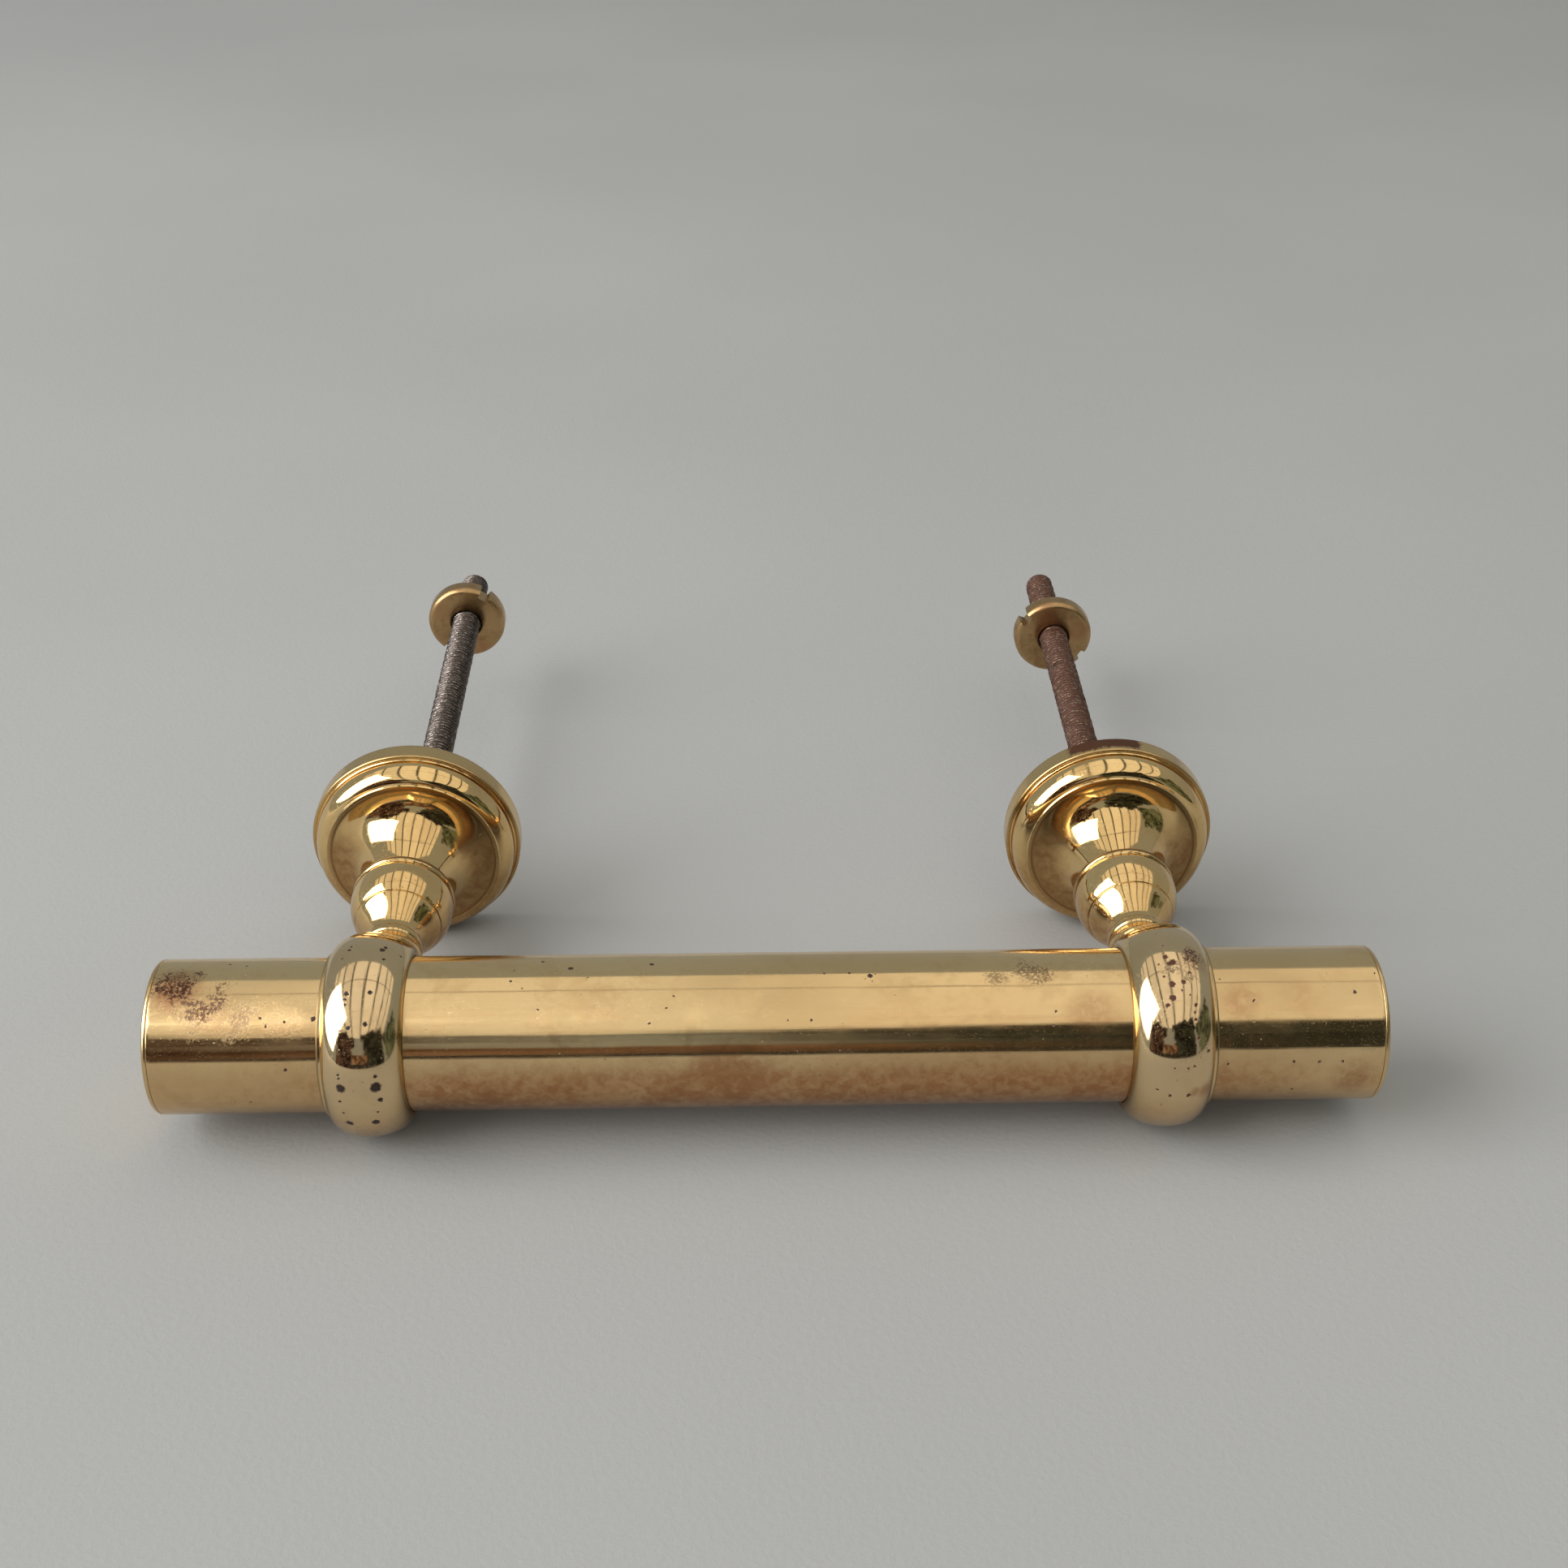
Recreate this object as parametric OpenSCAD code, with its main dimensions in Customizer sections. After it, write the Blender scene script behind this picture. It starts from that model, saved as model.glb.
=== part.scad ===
// Bar pull handle: a round tube grip carried by two turned posts, each held by a long
// screwed stud that passes through the door and takes a round slotted nut at the back.
// Frame: the origin is on the door's face, midway between the two stud axes.
// +X runs along the grip to the right, +Y points into the door, +Z is up.
// Turned profiles are written as [radius, distance along the turning axis].

/* [Grip] */
// distance between the two stud axes
post_spacing = 128; // [110:1:160]
// length of the grip tube without its end caps
tube_len = 194.4; // [190:0.2:260]
// outside diameter of the grip tube
tube_d = 25; // [24:0.5:26]
// wall thickness of the grip tube
tube_wall = 1.5; // [1:0.1:2]
// thickness of each end cap's flange
cap_flange = 0.8; // [0.6:0.1:2]
// rise of each end cap's shallow dome
cap_dome = 0.4; // [0.2:0.1:1.5]
// length of each end cap's spigot inside the tube
cap_spigot = 6; // [4:0.5:6]

/* [Rings] */
// largest diameter of the barrel-shaped rings
ring_d = 33; // [32.5:0.5:38]
// width of each ring along the grip
ring_w = 13.4; // [13.4:0.2:16]
// width of the plain lip on each ring's outer side
ring_lip = 0.7; // [0.4:0.1:0.8]
// how far a ring's widest place stands towards its outer side
ring_shift = 0.4; // [0:0.1:0.8]

/* [Posts] */
// distance from the door's face to the grip's axis
reach = 58.2; // [58.2:0.2:66]
// largest diameter of the cup on each post
cup_d = 18; // [17:0.5:20]
// diameter of the thin neck behind each ring
neck_d = 9; // [8.6:0.2:10]
// diameter of the bead that beds against each ring
bead_d = 11.4; // [11.2:0.2:12]
// diameter of the flared column at its thin end
column_d = 12.8; // [12:0.2:13.6]

/* [Roses] */
// diameter of the roses that sit on the door
rose_d = 38; // [37:0.5:46]
// height of the plain cylindrical rim of each rose
rim_h = 3.4; // [3:0.1:4]
// overall thickness of each rose
rose_h = 8.6; // [8.6:0.1:9]

/* [Studs and nuts] */
// thread diameter of the studs
stud_d = 6; // [6:0.1:6.1]
// distance from the door's face to the end of the left stud
left_stud_len = 99.2; // [90:0.2:120]
// distance from the door's face to the end of the right stud
right_stud_len = 97.4; // [90:0.2:120]
// front face of the left nut, as it stands on its stud
left_nut_at = 80.8; // [10:0.2:84]
// front face of the right nut, as it stands on its stud
right_nut_at = 71.9; // [10:0.1:84]
// diameter of the round nuts
nut_d = 16.6; // [15:0.2:20]
// thickness of the round nuts
nut_t = 3.8; // [3.4:0.2:6]
// width of the two driver notches in each nut
notch_w = 2.3; // [1.6:0.1:3]
// depth of the driver notches from the nut's rim
notch_depth = 1.4; // [0.8:0.1:2]
// angle of the left nut's notches from the grip's direction
left_notch_angle = 56; // [0:1:179]
// angle of the right nut's notches from the grip's direction
right_notch_angle = 145; // [0:1:179]

/* [Hidden] */
$fn = 96;

left = -1;                          // sides, as signs along X
right = 1;
post_x = post_spacing / 2;

slack = 0.05;                       // radial clearance between seated pieces
face_gap = 0.02;                    // gap between faces that meet
overrun = 1;                        // how far a cut runs past the face it opens

tube_r = tube_d / 2;
tube_bore_r = tube_r - tube_wall;
ring_r = ring_d / 2;
cup_r = cup_d / 2;
neck_r = neck_d / 2;
bead_r = bead_d / 2;
column_r = column_d / 2;
rose_r = rose_d / 2;

stud_r = stud_d / 2;
core_r = stud_r - 0.2;              // stud inside the stack of turned pieces
tip_r = stud_r - 0.16;              // stud from the nut's place to its end
hole_r = stud_r + 0.1;              // clearance hole for the stud
core_hole_r = core_r + slack;       // close hole in the insert and jam nut

// distances in front of the door
stud_front = reach + 4;             // front end of a stud
hole_front = reach - 2;             // stud holes in tube and rings end here, inside the tube
seat = reach - tube_r - 1.7;        // where a collar beds in its ring
cup_back = 20.4;                    // back face of the collar's cup
foot_at = rose_h - 2.2;             // floor of the rose's front pocket
recess_depth = 4;                   // recess for the jam nut at the back of the rose

foot_r = rose_r - 4;                // the flared column's foot
bead_land = 0.4;                    // step in from the bead to the collar's seated end
socket_r = 4.6;                     // socket in the column's front end
socket_depth = 1.4;
spigot_r = socket_r - slack;        // collar's spigot in that socket
spigot_len = 1.3;
stretch = reach - 58.2;             // extra neck for a reach above 58.2

brass = [0.83, 0.66, 0.36];
pale_brass = [0.76, 0.68, 0.46];
dull_brass = [0.62, 0.47, 0.25];
dark_steel = [0.30, 0.28, 0.28];
rusty_steel = [0.36, 0.25, 0.20];

// points on a cubic curve, leaving out its start
function curve(start, start_pull, end_pull, end, steps) =
  [for (i = [1:steps])
    let (done = i / steps, left_over = 1 - done)
    left_over*left_over*left_over*start + 3*left_over*left_over*done*start_pull
      + 3*left_over*done*done*end_pull + done*done*done*end];

// a list of points moved by an offset
function shift(points, offset) = [for (point = points) point + offset];

// turned about a post's axis, with distances measured forwards from the door's face
module on_post(side) { translate([side * post_x, 0, 0]) rotate([90, 0, 0]) children(); }
// the same, with distances measured backwards from the door's face
module on_stud(side) { translate([side * post_x, 0, 0]) rotate([-90, 0, 0]) children(); }
// turned about the grip's axis at a given x; turn -1 points the profile to the left
module on_grip(x, turn = 1) { translate([x, -reach, 0]) rotate([0, 90 * turn, 0]) children(); }
// a round hole on a post's axis, between two distances in front of the door
module post_hole(side, radius, back, front) {
  on_post(side) translate([0, 0, back]) cylinder(r = radius, h = front - back);
}

// grip tube, with a stud hole through its back wall at each post
module grip_tube() {
  half_len = tube_len / 2;
  color(brass) difference() {
    on_grip(0) rotate_extrude() polygon([
      [tube_bore_r, -half_len], [tube_r, -half_len],
      [tube_r, half_len], [tube_bore_r, half_len]]);
    for (side = [left, right])
      post_hole(side, hole_r, reach - tube_r - overrun, hole_front);
  }
}

// end cap: a hollow spigot, a rounded flange and a shallow dome
module end_cap(side) {
  outer_r = tube_bore_r - slack;
  inner_r = outer_r - 1.6;
  chamfer = 0.3;
  base = tube_len / 2 + face_gap;
  spigot_end = base - cap_spigot;
  hollow_end = base - 1.2;
  round_start = base + cap_flange * 0.4;
  flange_end = base + cap_flange;
  dome_end = flange_end + cap_dome;
  dome_r = tube_r - 0.7;
  color(brass) on_grip(0, side) rotate_extrude() polygon(concat(
    [[inner_r, spigot_end], [outer_r - chamfer, spigot_end], [outer_r, spigot_end + chamfer],
     [outer_r, base], [tube_r, base], [tube_r, round_start]],
    curve([tube_r, round_start], [tube_r, base + cap_flange * 0.8],
          [tube_r - 0.2, flange_end], [dome_r, flange_end], 6),
    curve([dome_r, flange_end], [tube_r - 4, flange_end + cap_dome * 0.7],
          [5, dome_end], [0, dome_end], 10),
    [[0, hollow_end], [inner_r, hollow_end]]));
}
module left_end_cap() { end_cap(left); }
module right_end_cap() { end_cap(right); }

// part of a ring's barrel outline; steps 0 to 16 rise to the widest place, 16 to 32 fall
function barrel(base_r, flank_w, first, last) =
  [for (i = [first:last])
    let (angle = 90 * i / 16)
    [base_r + (ring_r - base_r) * sin(angle), ring_shift - flank_w * cos(angle)]];

// barrel ring: it swells straight from the grip on the inner side and ends in a narrow lip
// on the outer side, with a flat-bottomed seat for the collar at the back
module ring(side) {
  half_w = ring_w / 2;
  bore_r = tube_r + slack;
  inner_edge_r = bore_r + 0.1;
  lip_r = tube_r + 0.7;
  hole_back = reach - ring_r - 4;
  color(pale_brass) difference() {
    on_grip(side * post_x, side) rotate_extrude() polygon(concat(
      [[bore_r, -half_w]],
      barrel(inner_edge_r, half_w + ring_shift, 0, 16),
      barrel(lip_r, half_w - ring_lip - ring_shift, 17, 32),
      [[lip_r, half_w - 0.15], [lip_r - 0.2, half_w], [bore_r, half_w]]));
    post_hole(side, bead_r - bead_land + slack, hole_back, seat + face_gap);
    post_hole(side, hole_r, hole_back, hole_front);
  }
}
module left_ring() { ring(left); }
module right_ring() { ring(right); }

// collar: spigot, cup, a hollow taper to the thin neck, a small round moulding
// and the bead at the ring
module collar(side) {
  chamfer = 0.25;
  spigot_back = cup_back - spigot_len;
  cup = [cup_r, cup_back];              // offsets for points given from the cup or the neck
  neck = [neck_r, cup_back + stretch];
  bead = [bead_r, cup_back + stretch];
  end_r = bead_r - bead_land;
  end_at = seat - 0.01;
  color(brass) on_post(side) rotate_extrude() polygon(concat(
    [[hole_r, spigot_back], [spigot_r - chamfer, spigot_back],
     [spigot_r, spigot_back + chamfer], [spigot_r, cup_back + face_gap]],
    // eased back edge and a fine groove
    shift([[-0.5, face_gap], [-0.1, 0.35], [0, 0.6], [0, 1.0],
           [-0.15, 1.3], [-0.35, 1.45], [-0.35, 1.6], [-0.15, 1.75]], cup),
    // cup wall and the small step at its front
    shift(curve([-0.15, 1.75], [0.12, 4.0], [-0.3, 6.6], [-1.5, 8.25], 16), cup),
    shift([[-1.68, 8.32], [-1.66, 8.5]], cup),
    // taper, which takes up the extra length
    curve(cup + [-1.66, 8.5], cup + [-2.2, 10 + stretch/2],
          [neck_r + 0.1, cup_back + 11.4 + stretch/2], neck + [0, 13.0], 14),
    // neck and round moulding
    shift([[0, 14.2]], neck),
    shift(curve([0, 14.2], [0.55, 14.25], [0.7, 14.9], [0.55, 15.9], 8), neck),
    shift([[0.35, 16.1], [0.35, 16.3]], neck),
    // bead and the plain end seated in the ring
    curve(neck + [0.35, 16.3], neck + [0.4, 17.3], bead + [0, 17.6], bead + [0, 19.2], 8),
    shift(curve([0, 19.2], [0, 19.8], [-0.2, 20.1], [-bead_land, 20.3], 5), bead),
    [[end_r, end_at], [hole_r, end_at]]));
}
module left_collar() { collar(left); }
module right_collar() { collar(right); }

// column: a foot that sits in the rose, a trumpet flare up to the collar
// and a socket for the collar's spigot
module column(side) {
  chamfer = 0.3;
  foot_back = foot_at + face_gap;
  flare_at = rose_h - 0.04;
  socket_floor = cup_back - socket_depth;
  color(brass) on_post(side) rotate_extrude() polygon(concat(
    [[hole_r, foot_back], [foot_r - chamfer, foot_back],
     [foot_r, foot_back + chamfer], [foot_r, flare_at]],
    curve([foot_r, flare_at], [foot_r - 5.6, rose_h + 0.35],
          [column_r + 0.5, rose_h + 4.9], [column_r, cup_back - 0.2], 30),
    [[column_r, cup_back], [socket_r, cup_back],
     [socket_r, socket_floor], [hole_r, socket_floor]]));
}
module left_column() { column(left); }
module right_column() { column(right); }

// rose: plain rim, rounded edge, quirk, bold round moulding and a narrow fillet round the pocket
module rose(side) {
  chamfer = 0.3;
  recess_r = 6.6;
  rim = [rose_r, rim_h];                // offset for points given from the rim's front edge
  front = [rose_r, rose_h];             // and from the rose's front face
  color(brass) on_post(side) rotate_extrude() polygon(concat(
    [[recess_r, 0], [rose_r - chamfer, 0], [rose_r, chamfer], rim],
    shift(curve([0, 0], [0, 0.3], [-0.2, 0.5], [-0.5, 0.5], 5), rim),
    shift([[-0.72, 0.35], [-0.95, 0.55]], rim),
    curve(rim + [-0.95, 0.55], rim + [-0.8, 2.3],
          front + [-1.4, -0.9], front + [-3.1, -0.45], 16),
    shift([[-3.35, -0.4], [-3.45, 0]], front),
    [[foot_r + slack, rose_h], [foot_r + slack, foot_at], [hole_r, foot_at],
     [hole_r, recess_depth], [recess_r, recess_depth]]));
}
module left_rose() { rose(left); }
module right_rose() { rose(right); }

// stud: plain cylinder at the thread's outside diameter between the rose and the nut,
// thinner inside the stack and from just in front of the nut to its rounded end
module stud(side, len, nut_at) {
  chamfer = 0.6;
  thread_start = -0.5;
  thread_end = nut_at - 0.4;
  round_start = len - 1.6;
  on_stud(side) rotate_extrude() polygon(concat(
    [[0, -stud_front], [core_r - chamfer, -stud_front], [core_r, -stud_front + chamfer],
     [core_r, thread_start], [stud_r, thread_start],
     [stud_r, thread_end], [tip_r, thread_end], [tip_r, round_start]],
    curve([tip_r, round_start], [tip_r, len - 0.6], [tip_r * 0.55, len], [0, len], 8)));
}
module left_stud() { color(dark_steel) stud(left, left_stud_len, left_nut_at); }
module right_stud() { color(rusty_steel) stud(right, right_stud_len, right_nut_at); }

// round nut: flat faces, a rounded edge on the side towards the rose, two notches in the rim
module round_nut(side, front_at, notch_angle) {
  nut_r = nut_d / 2;
  bore_r = stud_r + slack;
  bore_chamfer = 0.5;
  back_chamfer = 0.35;
  color(dull_brass) difference() {
    on_stud(side) translate([0, 0, front_at]) rotate_extrude() polygon(concat(
      [[bore_r, bore_chamfer], [bore_r + bore_chamfer, 0], [nut_r - 1.1, 0]],
      curve([nut_r - 1.1, 0], [nut_r - 0.45, 0.12], [nut_r, 0.7], [nut_r, 1.5], 8),
      [[nut_r, nut_t - back_chamfer], [nut_r - back_chamfer, nut_t],
       [bore_r + bore_chamfer, nut_t], [bore_r, nut_t - bore_chamfer]]));
    for (half_turn = [0, 180])
      translate([side * post_x, front_at, 0]) rotate([0, -(notch_angle + half_turn), 0])
        translate([nut_r - notch_depth, -overrun, -notch_w / 2])
          cube([notch_depth + overrun, nut_t + 2 * overrun, notch_w]);
  }
}
module left_nut() { round_nut(left, left_nut_at, left_notch_angle); }
module right_nut() { round_nut(right, right_nut_at, right_notch_angle); }

// insert: a slug inside the tube with a blind cross hole for the stud
module insert(side) {
  slug_r = tube_bore_r - slack;
  half_len = 8;
  chamfer = 0.6;
  color(dull_brass) difference() {
    on_grip(side * post_x) rotate_extrude() polygon([
      [0, -half_len], [slug_r - chamfer, -half_len], [slug_r, -half_len + chamfer],
      [slug_r, half_len - chamfer], [slug_r - chamfer, half_len], [0, half_len]]);
    post_hole(side, core_hole_r, reach - tube_r, stud_front + 0.6);
  }
}
module left_insert() { insert(left); }
module right_insert() { insert(right); }

// jam nut: thin hexagon nut in the recess at the back of the rose
module jam_nut(side) {
  corner_r = 5.77;
  back = 0.7;
  color(dark_steel) difference() {
    on_post(side) translate([0, 0, back])
      cylinder(r = corner_r, h = recess_depth - face_gap - back, $fn = 6);
    post_hole(side, core_hole_r, 0, recess_depth + overrun);
  }
}
module left_jam_nut() { jam_nut(left); }
module right_jam_nut() { jam_nut(right); }

grip_tube();
left_end_cap();
right_end_cap();
left_ring();
right_ring();
left_collar();
right_collar();
left_column();
right_column();
left_rose();
right_rose();
left_stud();
right_stud();
left_nut();
right_nut();
left_insert();
right_insert();
left_jam_nut();
right_jam_nut();
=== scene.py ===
# A brass pull handle. The grip runs along X. Two posts, left at -X and right at +X, carry it
# in front (-Y) of the roses. Threaded studs with nuts run back (+Y) from the roses.
# The frame is in metres with +Z up. Profiles, tables and shaders are in millimetres.

import math
from functools import reduce

import bpy
import numpy as np
from mathutils import Matrix, Vector


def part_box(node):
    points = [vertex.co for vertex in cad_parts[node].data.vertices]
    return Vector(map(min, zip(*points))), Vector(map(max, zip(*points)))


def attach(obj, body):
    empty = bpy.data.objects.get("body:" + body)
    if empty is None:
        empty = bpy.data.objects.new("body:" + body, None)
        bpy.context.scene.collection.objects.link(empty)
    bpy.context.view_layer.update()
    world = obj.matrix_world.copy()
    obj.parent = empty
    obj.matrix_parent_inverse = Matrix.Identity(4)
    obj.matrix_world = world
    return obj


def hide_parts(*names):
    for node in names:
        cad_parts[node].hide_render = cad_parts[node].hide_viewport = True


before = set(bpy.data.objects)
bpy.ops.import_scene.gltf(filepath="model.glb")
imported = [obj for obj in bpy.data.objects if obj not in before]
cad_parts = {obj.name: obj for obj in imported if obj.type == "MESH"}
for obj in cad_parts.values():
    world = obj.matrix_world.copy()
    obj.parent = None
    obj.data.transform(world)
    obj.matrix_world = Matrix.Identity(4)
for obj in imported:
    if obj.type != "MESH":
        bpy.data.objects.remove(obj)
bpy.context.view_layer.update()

MM = 0.001
SIDES = {"left": -1, "right": 1}


# ---------------------------------------------------------------- places, read from the frame

def span(node):
    """The low and high corners of a frame piece, in metres."""
    low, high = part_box(node)
    return np.array(low), np.array(high)


tube_low, tube_high = span("grip_tube")
TUBE_R = float(tube_high[2] - tube_low[2]) / 2
GRIP_Y = float(tube_low[1] + tube_high[1]) / 2
GRIP_Z = float(tube_low[2] + tube_high[2]) / 2
REACH = -GRIP_Y             # from the plane Y = 0 to the grip's axis
TUBE_MM = TUBE_R / MM


# ---------------------------------------------------------------- profiles

STEP = 0.02                 # spacing of the resampled profile
LONGEST = 0.6               # no edge of a softened profile is longer than about this
TOLERANCE = 0.0016          # how far a dropped point may lie from the profile
CREASE = 34                 # degrees; sharper corners of a profile stay hard
RELIEF_REACH = 0.35         # how far a corner's relief spreads along the profile


def bez(a, b, c, d, steps):
    """Points on a cubic Bezier curve, without its first point."""
    a, b, c, d = (np.array(p, float) for p in (a, b, c, d))
    t = np.linspace(0, 1, steps + 1)[1:, None]
    u = 1 - t
    return [tuple(p) for p in u**3 * a + 3 * u * u * t * b + 3 * u * t * t * c + t**3 * d]


def thin_out(path):
    """Keeps only the points needed to hold the shape within TOLERANCE."""
    keep = np.zeros(len(path), bool)
    keep[0] = keep[-1] = True
    longest_run = int(LONGEST / STEP)
    stack = [(0, len(path) - 1)]
    while stack:
        first, last = stack.pop()
        if last - first < 2:
            continue
        chord = path[last] - path[first]
        length = math.hypot(*chord)
        if length < 1e-9:
            split = (first + last) // 2
        else:
            inner = path[first + 1:last]
            off = np.abs((inner[:, 0] - path[first, 0]) * chord[1]
                         - (inner[:, 1] - path[first, 1]) * chord[0]) / length
            split = first + 1 + int(np.argmax(off))
            if off.max() < TOLERANCE:
                if last - first <= longest_run:
                    continue
                split = (first + last) // 2
        keep[split] = True
        stack += [(first, split), (split, last)]
    return path[keep]


def soften(points, sigma, closed):
    """Rounds every corner of a profile by about sigma, then thins its points out."""
    path = np.array(points, float)
    if closed:
        path = np.vstack([path, path[:1]])
    lengths = np.hypot(*np.diff(path, axis=0).T)
    path = path[np.concatenate([[True], lengths > 1e-7])]
    lengths = np.hypot(*np.diff(path, axis=0).T)
    along = np.concatenate([[0], np.cumsum(lengths)])
    stations = np.linspace(0, along[-1], int(round(along[-1] / STEP)) + 1)
    reach = int(math.ceil(3 * sigma / STEP))
    weights = np.exp(-0.5 * (np.arange(-reach, reach + 1) * STEP / sigma) ** 2)
    weights /= weights.sum()

    def smoothed(column):
        values = np.interp(stations, along, path[:, column])
        if closed:
            values = values[:-1]
            before, after = values[-reach:], values[:reach]
        else:
            before = 2 * values[0] - values[reach:0:-1]
            after = 2 * values[-1] - values[-2:-reach - 2:-1]
        return np.convolve(np.concatenate([before, values, after]), weights, "valid")

    path = np.stack([smoothed(0), smoothed(1)], 1)
    if closed:
        return thin_out(np.vstack([path, path[:1]]))[:-1]
    return thin_out(path)


def profile_shading(path, closed):
    """For each point: the normals on its outgoing and incoming edges, and its relief."""
    edge = np.roll(path, -1, axis=0) - path
    length = np.hypot(edge[:, 0], edge[:, 1])
    normal = np.stack([edge[:, 1], -edge[:, 0]], 1) / length[:, None]
    before, before_length = np.roll(normal, 1, axis=0), np.roll(length, 1)
    cosine = np.sum(normal * before, 1)
    sine = before[:, 0] * normal[:, 1] - before[:, 1] * normal[:, 0]
    if not closed:
        cosine[0] = cosine[-1] = 1
        sine[0] = sine[-1] = 0
        before[0], before_length[0] = normal[0], length[0]
        normal[-1], length[-1] = before[-1], before_length[-1]
    both = normal * length[:, None] + before * before_length[:, None]
    both /= np.hypot(both[:, 0], both[:, 1])[:, None]
    smooth = (cosine > math.cos(math.radians(CREASE)))[:, None]
    outgoing, incoming = np.where(smooth, both, normal), np.where(smooth, both, before)
    if not closed:
        for end in (0, -1):
            outgoing[end] = incoming[end] = (0, np.sign(both[end, 1]))

    # relief is the turning of the profile, spread over neighbouring points
    turn = np.arctan2(sine, cosine)
    along = np.concatenate([[0], np.cumsum(length[:-1])])
    gap = np.abs(along[:, None] - along[None, :])
    if closed:
        gap = np.minimum(gap, along[-1] + length[-1] - gap)
    relief = -(np.exp(-(gap / RELIEF_REACH) ** 2) * turn[None, :]).sum(1)
    return outgoing, incoming, relief


# ---------------------------------------------------------------- mesh helpers

def angles(count):
    return 2 * math.pi * np.arange(count) / count


def bands(ring, rows, first=0, closed=True):
    """Quads between rows of ring points each; closed joins the last row to the first."""
    faces = []
    for row in range(rows if closed else rows - 1):
        a, b = first + row * ring, first + (row + 1) % rows * ring
        for i in range(ring):
            k = (i + 1) % ring
            faces.append((a + i, a + k, b + k, b + i))
    return faces


def smooth_mesh(name, verts, faces):
    mesh = bpy.data.meshes.new(name)
    mesh.from_pydata(verts, [], faces)
    mesh.update()
    mesh.polygons.foreach_set("use_smooth", [True] * len(faces))
    return mesh


def add_values(mesh, name, values):
    data = mesh.attributes.new(name, "FLOAT", "POINT").data
    data.foreach_set("value", np.array(values, np.float32))


def place(name, mesh, body, stands_for, material):
    piece = bpy.data.objects.new(name, mesh)
    bpy.context.scene.collection.objects.link(piece)
    mesh.materials.append(material)
    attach(piece, body)
    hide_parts(stands_for)
    return piece


def lathe(name, profile, centre, axis, stands_for, material, sigma, segments=192,
          closed=True):
    """A solid of revolution with its own smooth normals, riding on the handle.

    profile: (radius, distance from centre along the unit axis). An open one ends on the axis.
    The vertex value relief is below 0 in grooves and above 0 on edges, for dirt and wear.
    """
    path = soften(profile, sigma, closed)
    if not closed:
        path[0, 0] = path[-1, 0] = 0.0
    twice_area = np.sum(path[:, 1] * np.roll(path[:, 0], -1)
                        - np.roll(path[:, 1], -1) * path[:, 0])
    if twice_area > 0:
        path = path[::-1].copy()
    outgoing, incoming, relief = profile_shading(path, closed)
    on_axis = path[:, 0] < 1e-6

    axis, centre = np.array(axis, float), np.array(centre)
    across = np.array((0.0, 1.0, 0.0) if axis[0] else (1.0, 0.0, 0.0))
    up = np.array((0.0, 0.0, 1.0))
    if np.dot(np.cross(across, up), axis) < 0:
        across, up = up, across
    turn = angles(segments)
    spokes = np.cos(turn)[:, None] * across + np.sin(turn)[:, None] * up

    verts, values, start = [], [], []
    for (radius, along), value, pole in zip(path, relief, on_axis):
        start.append(len(verts))
        if pole:
            verts.append(tuple(centre + along * MM * axis))
            values.append(value)
        else:
            ring = centre + radius * MM * spokes + along * MM * axis
            verts += [tuple(point) for point in ring]
            values += [value] * segments

    count = len(path)
    faces, normals = [], []
    for j in range(count if closed else count - 1):
        k = (j + 1) % count
        a, b = start[j], start[k]
        here = outgoing[j][0] * spokes + outgoing[j][1] * axis
        there = incoming[k][0] * spokes + incoming[k][1] * axis
        for i in range(segments):
            i2 = (i + 1) % segments
            if on_axis[j]:
                faces.append((a, b + i2, b + i))
                normals += [here[i], there[i2], there[i]]
            elif on_axis[k]:
                faces.append((a + i, a + i2, b))
                normals += [here[i], here[i2], there[i]]
            else:
                faces.append((a + i, a + i2, b + i2, b + i))
                normals += [here[i], here[i2], there[i2], there[i]]
    mesh = smooth_mesh(name, verts, faces)
    mesh.normals_split_custom_set([tuple(normal) for normal in normals])
    add_values(mesh, "relief", values)
    return place(name, mesh, "handle", stands_for, material)


# ---------------------------------------------------------------- shader helpers

class Value:
    """An output of a shader node. Each operator on it adds one math node."""

    def __init__(self, graph, socket):
        self.graph, self.socket = graph, socket

    def __add__(self, other):
        return self.graph.math("ADD", self, other)

    def __radd__(self, other):
        return self.graph.math("ADD", other, self)

    def __sub__(self, other):
        return self.graph.math("SUBTRACT", self, other)

    def __rsub__(self, other):
        return self.graph.math("SUBTRACT", other, self)

    def __mul__(self, other):
        return self.graph.math("MULTIPLY", self, other)

    def __truediv__(self, other):
        return self.graph.math("DIVIDE", self, other)

    def __abs__(self):
        return self.graph.math("ABSOLUTE", self)


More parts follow.
